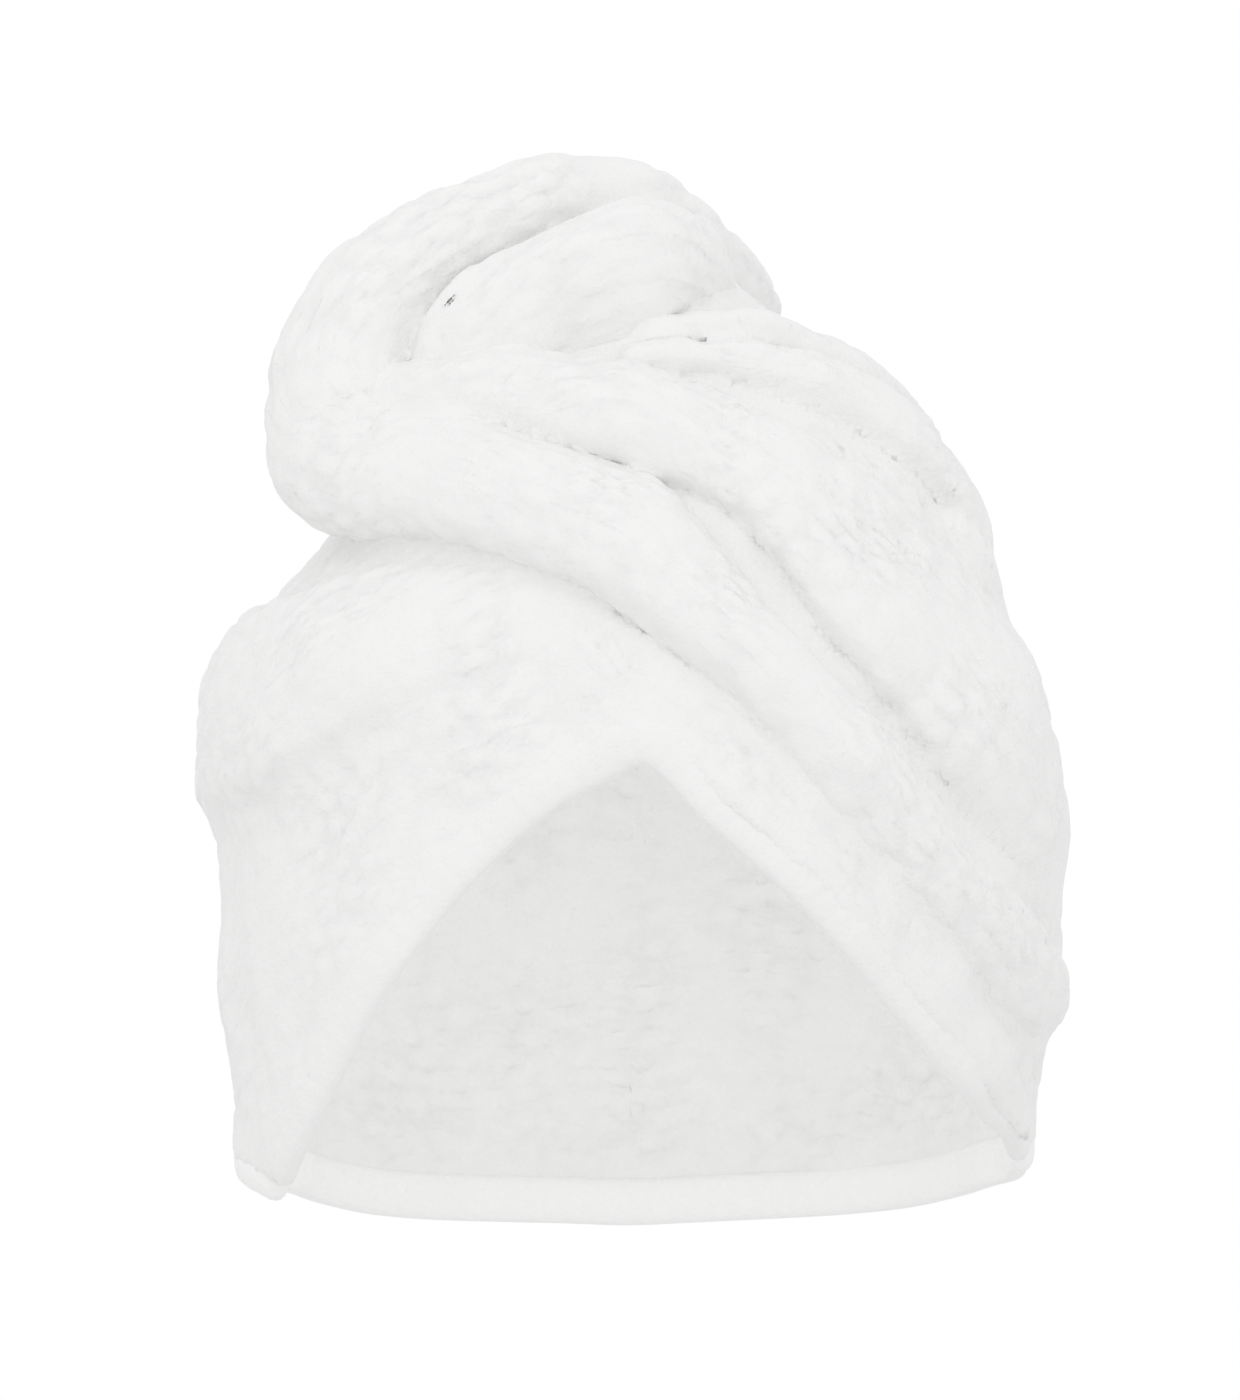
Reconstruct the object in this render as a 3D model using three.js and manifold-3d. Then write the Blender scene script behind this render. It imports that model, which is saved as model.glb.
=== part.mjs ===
// Hair turban towel, worn form: a cloth hood open at the face and below, with its long tail wound over the
// crown and buttoned at the nape. Millimetres, +Z up, the face opening looks along -Y, and the origin is the
// highest point of the hollow, where the crown of a head touches.

import * as THREE from 'three';
import { mergeVertices } from 'three/addons/utils/BufferGeometryUtils.js';
import Module from 'manifold-3d';

// Driving sizes
const HOOD_WIDTH = 220;
const HOOD_DEPTH = 220;
const HOOD_DROP = 190;
const BUN_RISE = 80;
const CLOTH = 3.5;
const ROLL_RADIUS = 20;
const TAIL_RADIUS = 30;
const HEM_WIDTH = 12;
const HEM_THICKNESS = 6.5;
const BUTTON_DIAMETER = 22;
const BUTTON_THICKNESS = 4;
const BUTTON_LIP = 1;
const BUTTON_SINK = 1.5;
const GAP = 0.3;

// Form of the hood's sections, and where its hollow starts to close into a dome
const SQUARENESS = 2.15;
const DOME_START = 0.25;
const DOME_SQUARENESS = 2.2;
const HOLLOW_BELOW = 1.2;
const MIDDLE_DROP = 0.42;

// Facets
const HOOD_SIDES = 48;
const HOOD_ROWS = 18;
const HOLLOW_SIDES = 40;
const HOLLOW_ROWS = 8;
const DOME_ROWS = 8;
const ROLL_SIDES = 12;
const HEM_SIDES = 8;
const HEM_STEPS = 38;
const NAPE_POINTS = 24;
const MERGE_DISTANCE = 1e-3;
const BUTTON_SIDES = 24;

// Places are shares: across of half HOOD_WIDTH (+ is +X), depth of half HOOD_DEPTH (+ is the back), and
// height of BUN_RISE above the origin or of HOOD_DROP below it.
const HALF_WIDTH = HOOD_WIDTH / 2;
const HALF_DEPTH = HOOD_DEPTH / 2;
const acrossOf = (share) => share * HALF_WIDTH;
const depthOf = (share) => share * HALF_DEPTH;
const heightOf = (share) => share * (share < 0 ? HOOD_DROP : BUN_RISE);

function table(columns, rows) {
  return rows.map((row) => Object.fromEntries(columns.map((name, index) => [name, row[index]])));
}

// The hood's outside, from the hem up into the twist: how far each section reaches to each side
const SECTIONS = table(['height', 'left', 'right', 'front', 'back'], [
  [-1.05, 0.85, 0.83, 0.89, 0.84],
  [-0.934, 0.89, 0.865, 0.914, 0.886],
  [-0.824, 0.925, 0.9, 0.943, 0.943],
  [-0.687, 0.95, 0.94, 0.962, 0.99],
  [-0.549, 0.95, 0.96, 0.962, 1.019],
  [-0.44, 0.948, 0.962, 0.952, 1.019],
  [-0.33, 0.985, 0.945, 0.933, 1.0],
  [-0.247, 0.955, 0.9, 0.905, 0.962],
  [-0.165, 0.86, 0.82, 0.857, 0.895],
  [-0.082, 0.72, 0.748, 0.8, 0.8],
  [0, 0.63, 0.68, 0.72, 0.686],
  [0.195, 0.56, 0.57, 0.6, 0.552],
  [0.39, 0.5, 0.4, 0.48, 0.429],
  [0.584, 0.42, 0.24, 0.36, 0.3],
  [0.753, 0.3, 0.1, 0.24, 0.18],
  [0.83, 0.2, 0, 0.12, 0.08],
]);

// The lower edge, by the turn round the head: 0 is the face, 90 the right side, 180 the nape
const RIM = table(['turn', 'height'], [
  [-180, -0.968],
  [-140, -0.952],
  [-110, -0.91],
  [-85, -0.888],
  [-60, -0.92],
  [0, -0.93],
  [60, -0.9],
  [85, -0.875],
  [110, -0.905],
  [140, -0.945],
  [180, -0.968],
]);

// The middle of the rolled hem round the face, from the left corner over the peak to the right corner
const FACE_EDGE = table(['across', 'height'], [
  [-0.805, -0.91],
  [-0.725, -0.793],
  [-0.595, -0.647],
  [-0.43, -0.517],
  [-0.24, -0.414],
  [-0.116, -0.371],
  [0.018, -0.342],
  [0.177, -0.424],
  [0.314, -0.496],
  [0.475, -0.596],
  [0.589, -0.676],
  [0.705, -0.763],
  [0.864, -0.872],
]);

// Folds and rolls: rows along the middle line of each. FRONT or BACK in place of a depth seats the row on the
// hood's surface there. lift, wide and thick are the height off that place, half the width and half the thickness.
const FRONT = 'front';
const BACK = 'back';
const ROLL_COLUMNS = ['across', 'depth', 'height', 'lift', 'wide', 'thick'];

// Gathers of the hood: shares of ROLL_RADIUS
const HOOD_FOLDS = {
  forehead_band: table(ROLL_COLUMNS, [
    [-0.24, FRONT, -0.15, -0.1, 0.2, 0.12],
    [-0.13, FRONT, -0.22, -0.06, 0.6, 0.26],
    [-0.01, FRONT, -0.285, -0.06, 0.8, 0.3],
    [0.14, FRONT, -0.36, -0.06, 0.85, 0.3],
    [0.3, FRONT, -0.455, -0.06, 0.82, 0.3],
    [0.46, FRONT, -0.555, -0.06, 0.8, 0.28],
    [0.62, FRONT, -0.67, -0.08, 0.72, 0.24],
    [0.77, FRONT, -0.785, -0.1, 0.55, 0.2],
    [0.84, FRONT, -0.85, -0.1, 0.25, 0.1],
  ]),
  left_panel: table(ROLL_COLUMNS, [
    [-0.84, BACK, -0.38, -0.25, 0.5, 0.2],
    [-0.95, 0.12, -0.34, -0.15, 0.9, 0.34],
    [-0.95, -0.16, -0.31, -0.1, 1.1, 0.4],
    [-0.8, FRONT, -0.255, -0.1, 1.2, 0.4],
    [-0.6, FRONT, -0.21, -0.12, 0.95, 0.34],
    [-0.42, FRONT, -0.19, -0.15, 0.6, 0.26],
    [-0.3, FRONT, -0.19, -0.15, 0.25, 0.12],
  ]),
  right_gather: table(ROLL_COLUMNS, [
    [-0.42, FRONT, 0.2, 0.05, 0.35, 0.3],
    [-0.27, FRONT, 0.2, 0.05, 0.62, 0.48],
    [-0.11, FRONT, 0.18, 0.05, 0.76, 0.54],
    [0.045, FRONT, 0.14, 0.05, 0.86, 0.56],
    [0.205, FRONT, 0.06, 0.05, 0.9, 0.56],
    [0.364, FRONT, -0.04, 0, 1.05, 0.54],
    [0.5, FRONT, -0.125, 0, 1.22, 0.54],
    [0.63, FRONT, -0.21, 0, 1.3, 0.52],
    [0.76, FRONT, -0.31, -0.05, 1.3, 0.46],
    [0.88, FRONT, -0.42, -0.1, 1.1, 0.38],
    [0.95, 0.05, -0.52, -0.15, 0.8, 0.26],
    [0.92, 0.3, -0.6, -0.15, 0.35, 0.12],
  ]),
  upper_gather: table(ROLL_COLUMNS, [
    [-0.02, FRONT, 0.35, 0.05, 0.2, 0.2],
    [0.18, FRONT, 0.345, 0.05, 0.38, 0.36],
    [0.32, FRONT, 0.3, 0.05, 0.46, 0.42],
    [0.45, FRONT, 0.23, 0.05, 0.55, 0.45],
    [0.57, FRONT, 0.12, 0.05, 0.64, 0.45],
    [0.67, FRONT, -0.01, 0.02, 0.72, 0.42],
    [0.75, FRONT, -0.1, -0.05, 0.74, 0.36],
    [0.82, 0.06, -0.19, -0.15, 0.6, 0.26],
    [0.87, 0.26, -0.28, -0.2, 0.25, 0.12],
  ]),
  crown_gather: table(ROLL_COLUMNS, [
    [0.02, FRONT, 0.44, 0, 0.2, 0.2],
    [0.17, FRONT, 0.44, 0.05, 0.34, 0.34],
    [0.31, -0.28, 0.4, 0, 0.44, 0.4],
    [0.46, -0.12, 0.31, 0, 0.52, 0.42],
    [0.59, 0.08, 0.17, -0.05, 0.54, 0.4],
    [0.63, BACK, 0.02, -0.1, 0.44, 0.3],
    [0.66, BACK, -0.1, -0.2, 0.2, 0.15],
  ]),
};

// Coil of the tail: shares of ROLL_RADIUS
const FRONT_ROLL = table(ROLL_COLUMNS, [
  [0.9, 0.2, -0.72, -0.15, 0.3, 0.15],
  [0.915, -0.1, -0.7, -0.05, 0.5, 0.28],
  [0.87, FRONT, -0.66, 0, 0.64, 0.4],
  [0.727, FRONT, -0.56, 0, 0.7, 0.5],
  [0.58, FRONT, -0.447, 0.05, 0.74, 0.58],
  [0.425, FRONT, -0.34, 0.05, 0.7, 0.6],
  [0.25, FRONT, -0.235, 0.05, 0.7, 0.62],
  [0.11, FRONT, -0.16, 0.05, 0.76, 0.64],
  [-0.045, FRONT, -0.09, 0.1, 0.8, 0.66],
  [-0.227, FRONT, -0.045, 0.15, 0.86, 0.7],
  [-0.41, FRONT, -0.01, 0.15, 0.96, 0.76],
  [-0.55, -0.46, 0.01, 0, 1.02, 0.86],
  [-0.66, -0.35, 0.1, 0, 1.06, 0.95],
  [-0.665, -0.3, 0.28, 0, 0.96, 0.98],
  [-0.61, -0.27, 0.46, 0, 0.86, 0.98],
  [-0.5, -0.25, 0.61, 0, 0.72, 0.92],
  [-0.37, -0.21, 0.735, 0, 0.6, 0.84],
  [-0.215, -0.14, 0.82, 0, 0.5, 0.74],
  [-0.07, -0.02, 0.82, 0, 0.42, 0.66],
  [0.06, 0.16, 0.7, 0, 0.3, 0.3],
]);

// Where the inner turn of the coil comes forward and tucks in again: shares of ROLL_RADIUS
const INNER_ROLL = table(ROLL_COLUMNS, [
  [-0.44, -0.4, 0.33, 0, 0.35, 0.35],
  [-0.34, -0.4, 0.46, 0, 0.65, 0.75],
  [-0.2, -0.4, 0.54, 0, 0.8, 0.95],
  [-0.045, -0.36, 0.62, 0, 0.86, 1.0],
  [0.08, -0.25, 0.62, 0, 0.56, 0.8],
  [0.17, -0.1, 0.55, 0, 0.32, 0.5],
  [0.2, 0.05, 0.46, 0, 0.2, 0.3],
]);

// The end of the tail, from the coil down behind: shares of TAIL_RADIUS
const BACK_FALL = table(ROLL_COLUMNS, [
  [-0.2, -0.1, 0.83, 0, 0.3, 0.3],
  [-0.07, 0.02, 0.84, 0, 0.5, 0.42],
  [0.05, 0.2, 0.72, 0, 0.72, 0.44],
  [0.09, 0.44, 0.5, 0, 0.88, 0.42],
  [0.07, 0.7, 0.14, 0, 0.96, 0.38],
  [0.04, 0.9, -0.14, 0, 1.0, 0.34],
  [0.01, 1.0, -0.3, 0, 1.0, 0.3],
  [0, 1.035, -0.47, 0, 0.94, 0.28],
  [0, 1.02, -0.64, 0, 0.82, 0.25],
  [0, 0.975, -0.78, 0, 0.66, 0.22],
  [0, 0.945, -0.86, 0, 0.5, 0.18],
  [0, 0.93, -0.895, 0, 0.3, 0.12],
]);

const ROLL_STEPS = {
  forehead_band: 12,
  left_panel: 8,
  right_gather: 18,
  upper_gather: 12,
  crown_gather: 9,
  front_roll: 34,
  inner_roll: 10,
  back_fall: 18,
};

const BUTTON_ALONG = 0.83;

// Smooth value of one column of a table at a place given by another column
function valueAt(rows, key, place, column) {
  let index = 0;
  while (index < rows.length - 2 && place > rows[index + 1][key]) {
    index += 1;
  }
  const before = rows[Math.max(index - 1, 0)];
  const start = rows[index];
  const end = rows[index + 1];
  const after = rows[Math.min(index + 2, rows.length - 1)];
  const span = end[key] - start[key];
  const share = THREE.MathUtils.clamp((place - start[key]) / span, 0, 1);
  const slopeStart = (end[column] - before[column]) / (end[key] - before[key]) * span;
  const slopeEnd = (after[column] - start[column]) / (after[key] - start[key]) * span;
  const square = share * share;
  const cube = square * share;
  return start[column] * (2 * cube - 3 * square + 1)
    + slopeStart * (cube - 2 * square + share)
    + end[column] * (3 * square - 2 * cube)
    + slopeEnd * (cube - square);
}

const heightShare = (z) => z / (z < 0 ? HOOD_DROP : BUN_RISE);

// Reaches of the hood's outside at a height, in millimetres, grown by a distance
function sectionAt(z, grow = 0) {
  const share = heightShare(z);
  const left = acrossOf(valueAt(SECTIONS, 'height', share, 'left'));
  const right = acrossOf(valueAt(SECTIONS, 'height', share, 'right'));
  return {
    middle: (right - left) / 2,
    half: (right + left) / 2 + grow,
    front: depthOf(valueAt(SECTIONS, 'height', share, 'front')) + grow,
    back: depthOf(valueAt(SECTIONS, 'height', share, 'back')) + grow,
  };
}

// A point of a section at a turn in degrees, drawn in towards its middle by a share
function sectionPoint(section, turn, z, share = 1) {
  const angle = THREE.MathUtils.degToRad(turn);
  const power = 2 / SQUARENESS;
  const sine = Math.sin(angle);
  const cosine = Math.cos(angle);
  const reach = cosine > 0 ? -section.front : section.back;
  return new THREE.Vector3(
    section.middle + share * section.half * Math.sign(sine) * Math.abs(sine) ** power,
    share * reach * Math.abs(cosine) ** power,
    z,
  );
}

// The turn at which the hood's front passes a place across
function turnAt(x, z) {
  const section = sectionAt(z);
  const share = THREE.MathUtils.clamp(Math.abs(x - section.middle) / section.half, 0, 1);
  const angle = Math.asin(share ** (SQUARENESS / 2));
  return Math.sign(x - section.middle) * THREE.MathUtils.radToDeg(angle);
}

const rimHeight = (turn) => heightOf(valueAt(RIM, 'turn', turn, 'height'));

// A closed surface through rings of points, with a fan to a point at each end
function loftGeometry(rings, startPoint, endPoint) {
  const sides = rings[0].length;
  const points = [...rings.flat(), startPoint, endPoint];
  const startIndex = points.length - 2;
  const endIndex = points.length - 1;
  const lastRing = (rings.length - 1) * sides;
  const faces = [];
  for (let side = 0; side < sides; side += 1) {
    const next = (side + 1) % sides;
    faces.push(startIndex, next, side);
    faces.push(endIndex, lastRing + side, lastRing + next);
    for (let ring = 0; ring < rings.length - 1; ring += 1) {
      const low = ring * sides;
      const high = low + sides;
      faces.push(low + side, low + next, high + next);
      faces.push(low + side, high + next, high + side);
    }
  }
  const geometry = new THREE.BufferGeometry();
  geometry.setAttribute('position', new THREE.Float32BufferAttribute(points.flatMap((point) => point.toArray()), 3));
  geometry.setIndex(faces);
  return geometry;
}

const turnOf = (side, sides) => (side / sides) * 360 - 180;

// The hood's outside as a solid, from its lower edge to the tip inside the twist
function outsideGeometry(grow) {
  const rings = [];
  const tip = heightOf(SECTIONS.at(-1).height);
  for (let row = 0; row <= HOOD_ROWS; row += 1) {
    const ring = [];
    for (let side = 0; side < HOOD_SIDES; side += 1) {
      const turn = turnOf(side, HOOD_SIDES);
      const z = THREE.MathUtils.lerp(rimHeight(turn), tip, row / HOOD_ROWS);
      ring.push(sectionPoint(sectionAt(z, grow), turn, z));
    }
    rings.push(ring);
  }
  const base = new THREE.Vector3(0, 0, -HOOD_DROP);
  return loftGeometry(rings, base, new THREE.Vector3(sectionAt(tip).middle, 0, tip + grow));
}

// The space for the head: the outside less the cloth, closed by a dome that ends at the origin's height
function hollowGeometry() {
  const rings = [];
  const shoulder = -DOME_START * HOOD_DROP;
  const lowest = -HOLLOW_BELOW * HOOD_DROP;
  const addRing = (z) => {
    const rise = Math.max(1 - z / shoulder, 0);
    const share = (1 - rise ** DOME_SQUARENESS) ** (1 / DOME_SQUARENESS);
    const section = sectionAt(z, -CLOTH);
    const ring = [];
    for (let side = 0; side < HOLLOW_SIDES; side += 1) {
      ring.push(sectionPoint(section, turnOf(side, HOLLOW_SIDES), z, share));
    }
    rings.push(ring);
  };
  for (let row = 0; row <= HOLLOW_ROWS; row += 1) {
    addRing(THREE.MathUtils.lerp(lowest, shoulder, row / HOLLOW_ROWS));
  }
  for (let row = 1; row < DOME_ROWS; row += 1) {
    addRing(shoulder * (1 - Math.sin((row / DOME_ROWS) * (Math.PI / 2))));
  }
  return loftGeometry(rings, new THREE.Vector3(0, 0, lowest), new THREE.Vector3(0, 0, 0));
}

const HEAD_MIDDLE = new THREE.Vector3(0, 0, -HOOD_DROP * MIDDLE_DROP);

// Where a row of a fold lies, in millimetres
function rowPlace(row, radius) {
  const z = heightOf(row.height);
  const x = acrossOf(row.across);
  const place = new THREE.Vector3(x, 0, z);
  if (row.depth === FRONT) {
    place.y = sectionPoint(sectionAt(z), turnAt(x, z), z).y;
  } else if (row.depth === BACK) {
    place.y = sectionPoint(sectionAt(z), 180 - turnAt(x, z), z).y;
  } else {
    place.y = depthOf(row.depth);
  }
  const outward = place.clone().sub(HEAD_MIDDLE).normalize();
  return place.addScaledVector(outward, row.lift * radius);
}

// An oval ring round a path point, with its thickness turned away from the middle of the head
function ovalRing(place, along, wide, thick, sides) {
  const outward = place.clone().sub(HEAD_MIDDLE);
  outward.addScaledVector(along, -outward.dot(along)).normalize();
  const sideways = new THREE.Vector3().crossVectors(outward, along);
  const ring = [];
  for (let side = 0; side < sides; side += 1) {
    const angle = (side / sides) * Math.PI * 2;
    ring.push(place.clone()
      .addScaledVector(sideways, wide * Math.cos(angle))
      .addScaledVector(outward, thick * Math.sin(angle)));
  }
  return ring;
}

// A roll of cloth through the rows of a table
function rollGeometry(rows, radius, steps, grow = 0) {
  const path = new THREE.CatmullRomCurve3(rows.map((row) => rowPlace(row, radius)));
  const sizes = rows.map((row, index) => ({ index, wide: row.wide, thick: row.thick }));
  const rings = [];
  for (let step = 0; step <= steps; step += 1) {
    const share = step / steps;
    const place = share * (rows.length - 1);
    const wide = valueAt(sizes, 'index', place, 'wide') * radius + grow;
    const thick = valueAt(sizes, 'index', place, 'thick') * radius + grow;
    rings.push(ovalRing(path.getPoint(share), path.getTangent(share), wide, thick, ROLL_SIDES));
  }
  const start = path.getPoint(0).addScaledVector(path.getTangent(0), -rows[0].thick * radius - grow);
  const end = path.getPoint(1).addScaledVector(path.getTangent(1), rows.at(-1).thick * radius + grow);
  return loftGeometry(rings, start, end);
}

// A hem along a list of points in the middle of the cloth
function hemGeometry(points, grow = 0) {
  const path = new THREE.CatmullRomCurve3(points);
  const rings = [];
  for (let step = 0; step <= HEM_STEPS; step += 1) {
    const share = step / HEM_STEPS;
    const wide = HEM_WIDTH / 2 + grow;
    const thick = HEM_THICKNESS / 2 + grow;
    rings.push(ovalRing(path.getPoint(share), path.getTangent(share), wide, thick, HEM_SIDES));
  }
  const reach = HEM_THICKNESS / 2 + grow;
  const start = path.getPoint(0).addScaledVector(path.getTangent(0), -reach);
  const end = path.getPoint(1).addScaledVector(path.getTangent(1), reach);
  return loftGeometry(rings, start, end);
}

const wallMiddle = (turn, z) => sectionPoint(sectionAt(z, -CLOTH / 2), turn, z);

const FACE_POINTS = FACE_EDGE.map((row) => {
  const z = heightOf(row.height);
  return wallMiddle(turnAt(acrossOf(row.across), z), z);
});

// The rim's middle line from the left corner of the face round the nape to the right corner
function napePoints() {
  const corner = (row) => turnAt(acrossOf(row.across), heightOf(row.height));
  const left = corner(FACE_EDGE[0]);
  const right = corner(FACE_EDGE.at(-1));
  const points = [];
  for (let index = 0; index <= NAPE_POINTS; index += 1) {
    const turn = THREE.MathUtils.lerp(left, right - 360, index / NAPE_POINTS);
    const around = turn < -180 ? turn + 360 : turn;
    points.push(wallMiddle(around, rimHeight(around)));
  }
  return points;
}

// The face opening as a block in front of the head, bounded by the middle of the rolled hem
function openingGeometry() {
  const edge = new THREE.CatmullRomCurve3(FACE_POINTS).getPoints(HEM_STEPS);
  const outline = edge.map((point) => new THREE.Vector2(point.x, point.z));
  const below = -HOLLOW_BELOW * HOOD_DROP;
  outline.push(new THREE.Vector2(outline.at(-1).x, below));
  outline.push(new THREE.Vector2(outline[0].x, below));
  const geometry = new THREE.ExtrudeGeometry(new THREE.Shape(outline), { depth: HOOD_DEPTH, bevelEnabled: false });
  geometry.rotateX(Math.PI / 2);
  return geometry;
}

// A round button with a softened rim, lying on its back with its axis along Y
function buttonGeometry(grow = 0) {
  const radius = BUTTON_DIAMETER / 2 + grow;
  const top = BUTTON_THICKNESS + grow;
  const profile = [
    new THREE.Vector2(0, -grow),
    new THREE.Vector2(radius - BUTTON_LIP, -grow),
    new THREE.Vector2(radius, BUTTON_LIP),
    new THREE.Vector2(radius, top - BUTTON_LIP),
    new THREE.Vector2(radius - BUTTON_LIP, top),
    new THREE.Vector2(0, top),
  ];
  return new THREE.LatheGeometry(profile, BUTTON_SIDES);
}

// Where the button lies: pressed a little way into the tail near its end
function buttonPlace() {
  const path = new THREE.CatmullRomCurve3(BACK_FALL.map((row) => rowPlace(row, TAIL_RADIUS)));
  const sizes = BACK_FALL.map((row, index) => ({ index, thick: row.thick }));
  const place = path.getPoint(BUTTON_ALONG);
  const along = path.getTangent(BUTTON_ALONG);
  const outward = place.clone().sub(HEAD_MIDDLE);
  outward.addScaledVector(along, -outward.dot(along)).normalize();
  const thick = valueAt(sizes, 'index', BUTTON_ALONG * (BACK_FALL.length - 1), 'thick') * TAIL_RADIUS;
  place.addScaledVector(outward, thick - BUTTON_SINK);
  const turn = new THREE.Quaternion().setFromUnitVectors(new THREE.Vector3(0, 1, 0), outward);
  return new THREE.Matrix4().compose(place, turn, new THREE.Vector3(1, 1, 1));
}

const wasm = await Module();
wasm.setup();

function solidOf(geometry) {
  const bare = geometry.clone();
  bare.deleteAttribute('normal');
  bare.deleteAttribute('uv');
  const merged = mergeVertices(bare, MERGE_DISTANCE);
  return new wasm.Manifold(new wasm.Mesh({
    numProp: 3,
    vertProperties: new Float32Array(merged.attributes.position.array),
    triVerts: new Uint32Array(merged.index.array),
  }));
}

function joined(geometries) {
  return geometries.map(solidOf).reduce((whole, piece) => whole.add(piece));
}

// The largest body of a cut solid, without the crumbs that a cut leaves beside an edge
function largestBody(solid) {
  return solid.decompose().reduce((best, body) => (body.volume() > best.volume() ? body : best));
}

function meshOf(name, solid, material) {
  const { vertProperties, triVerts } = solid.getMesh();
  const geometry = new THREE.BufferGeometry();
  geometry.setAttribute('position', new THREE.BufferAttribute(vertProperties, 3));
  geometry.setIndex(new THREE.BufferAttribute(triVerts, 1));
  geometry.computeVertexNormals();
  const mesh = new THREE.Mesh(geometry, material);
  mesh.name = name;
  return mesh;
}

const foldGeometries = Object.entries(HOOD_FOLDS)
  .map(([name, rows]) => rollGeometry(rows, ROLL_RADIUS, ROLL_STEPS[name]));

const tailGeometries = (grow) => [
  rollGeometry(FRONT_ROLL, ROLL_RADIUS, ROLL_STEPS.front_roll, grow),
  rollGeometry(INNER_ROLL, ROLL_RADIUS, ROLL_STEPS.inner_roll, grow),
  rollGeometry(BACK_FALL, TAIL_RADIUS, ROLL_STEPS.back_fall, grow),
];

const hollow = solidOf(hollowGeometry());
const opening = solidOf(openingGeometry());
const faceHem = solidOf(hemGeometry(FACE_POINTS));
const faceHemClear = solidOf(hemGeometry(FACE_POINTS, GAP));
const napeHem = solidOf(hemGeometry(napePoints())).subtract(faceHemClear);
const napeHemClear = solidOf(hemGeometry(napePoints(), GAP));

const hoodFolds = joined(foldGeometries).subtract(joined(tailGeometries(GAP)));
const hood = solidOf(outsideGeometry(0))
  .add(hoodFolds)
  .subtract(hollow)
  .subtract(opening)
  .subtract(faceHemClear)
  .subtract(napeHemClear);
const buttonMatrix = buttonPlace();
const tail = joined(tailGeometries(0))
  .subtract(solidOf(outsideGeometry(GAP)))
  .subtract(solidOf(buttonGeometry(GAP).applyMatrix4(buttonMatrix)));

const CLOTH_LOOK = { color: 0xf1f1ef, roughness: 0.95, metalness: 0 };
const HEM_LOOK = { color: 0xf5f5f3, roughness: 0.9, metalness: 0 };
const BUTTON_LOOK = { color: 0xf4f4f2, roughness: 0.4, metalness: 0 };

const turban = new THREE.Group();
turban.add(meshOf('hood', largestBody(hood), new THREE.MeshStandardMaterial(CLOTH_LOOK)));
turban.add(meshOf('tail', largestBody(tail), new THREE.MeshStandardMaterial(CLOTH_LOOK)));
turban.add(meshOf('face_hem', faceHem, new THREE.MeshStandardMaterial(HEM_LOOK)));
turban.add(meshOf('nape_hem', largestBody(napeHem), new THREE.MeshStandardMaterial(HEM_LOOK)));

const button = new THREE.Mesh(buttonGeometry(), new THREE.MeshStandardMaterial(BUTTON_LOOK));
button.name = 'button';
button.applyMatrix4(buttonMatrix);
turban.add(button);

export default turban;
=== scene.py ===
import math

import bpy
import numpy as np
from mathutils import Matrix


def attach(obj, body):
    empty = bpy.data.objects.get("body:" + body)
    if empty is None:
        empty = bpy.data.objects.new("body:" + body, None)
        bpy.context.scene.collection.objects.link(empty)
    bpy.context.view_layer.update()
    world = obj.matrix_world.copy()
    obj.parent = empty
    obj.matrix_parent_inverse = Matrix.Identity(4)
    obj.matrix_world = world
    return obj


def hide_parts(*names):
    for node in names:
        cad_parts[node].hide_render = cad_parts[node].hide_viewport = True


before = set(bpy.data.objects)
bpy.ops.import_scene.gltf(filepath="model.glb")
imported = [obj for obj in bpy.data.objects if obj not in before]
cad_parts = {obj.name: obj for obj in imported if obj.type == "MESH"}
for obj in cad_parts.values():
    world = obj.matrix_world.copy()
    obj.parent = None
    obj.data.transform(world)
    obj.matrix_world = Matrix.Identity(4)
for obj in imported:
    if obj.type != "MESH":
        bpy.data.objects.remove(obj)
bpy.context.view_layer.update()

# Sizes in millimetres, as in the CAD part
HOOD_WIDTH = 220
HOOD_DEPTH = 220
HOOD_DROP = 190
BUN_RISE = 80
CLOTH = 3.5
ROLL_RADIUS = 20
TAIL_RADIUS = 30
HEM_WIDTH = 12
HEM_THICKNESS = 6.5
BUTTON_DIAMETER = 22
BUTTON_THICKNESS = 4
BUTTON_SINK = 1.5
BUTTON_SIDES = 48

# Form of the hood's sections, where its hollow starts to close into a dome, and, as shares of the drop, where
# the head's middle is, how far down the face is cut, and where the turns of the lower edge are read
SQUARENESS = 2.15
DOME_START = 0.25
DOME_SQUARENESS = 2.2
MIDDLE_DROP = 0.42
HOLLOW_BELOW = 1.2
RIM_MIDDLE = -0.93

# Grids: millimetres between points, corners, what counts as far, and how far round a roll its field reaches;
# and paths: millimetres between samples, and points for a first measure and for the face's edge
HOOD_GRID = 2.05
TAIL_GRID = 1.6
GRID_LOW = (-116.0, -114.0, -190.0)
GRID_HIGH = (112.0, 126.0, 86.0)
FAR = 14.0
ROLL_MARGIN = 7.0
PATH_STEP = 1.5
ROUGH_PATH_POINTS = 200
FACE_EDGE_POINTS = 80
SETTLING_STEPS = 3

# The least values that the fields are divided by
LEAST_LENGTH = 1e-9
LEAST_STEEPNESS = 1e-4
LEAST_SLOPE = 0.05

# Valleys where one fold meets another: a fold thinner than a share of its radius has a weaker one. The tail
# ends a little under the hood's outside, and a fold with the widest blend counts as part of what it lies on
VALLEY_WIDTH = 3.2
VALLEY_FULL_AT = 0.3
TAIL_SINK = 1.8
BLENDED_IN = 10.0

# The hood rises a little where the tail lies on it and ends just under the tail's surface
TAIL_COVER = 1.0
TAIL_BLEND = 3.0

# Creases fade out over this depth ahead of the middle, and over a share of their length towards their ends,
# where a share of the depth is left
CREASE_FADE = 20.0
CREASE_END = 0.2
CREASE_END_DEPTH = 0.25

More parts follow.
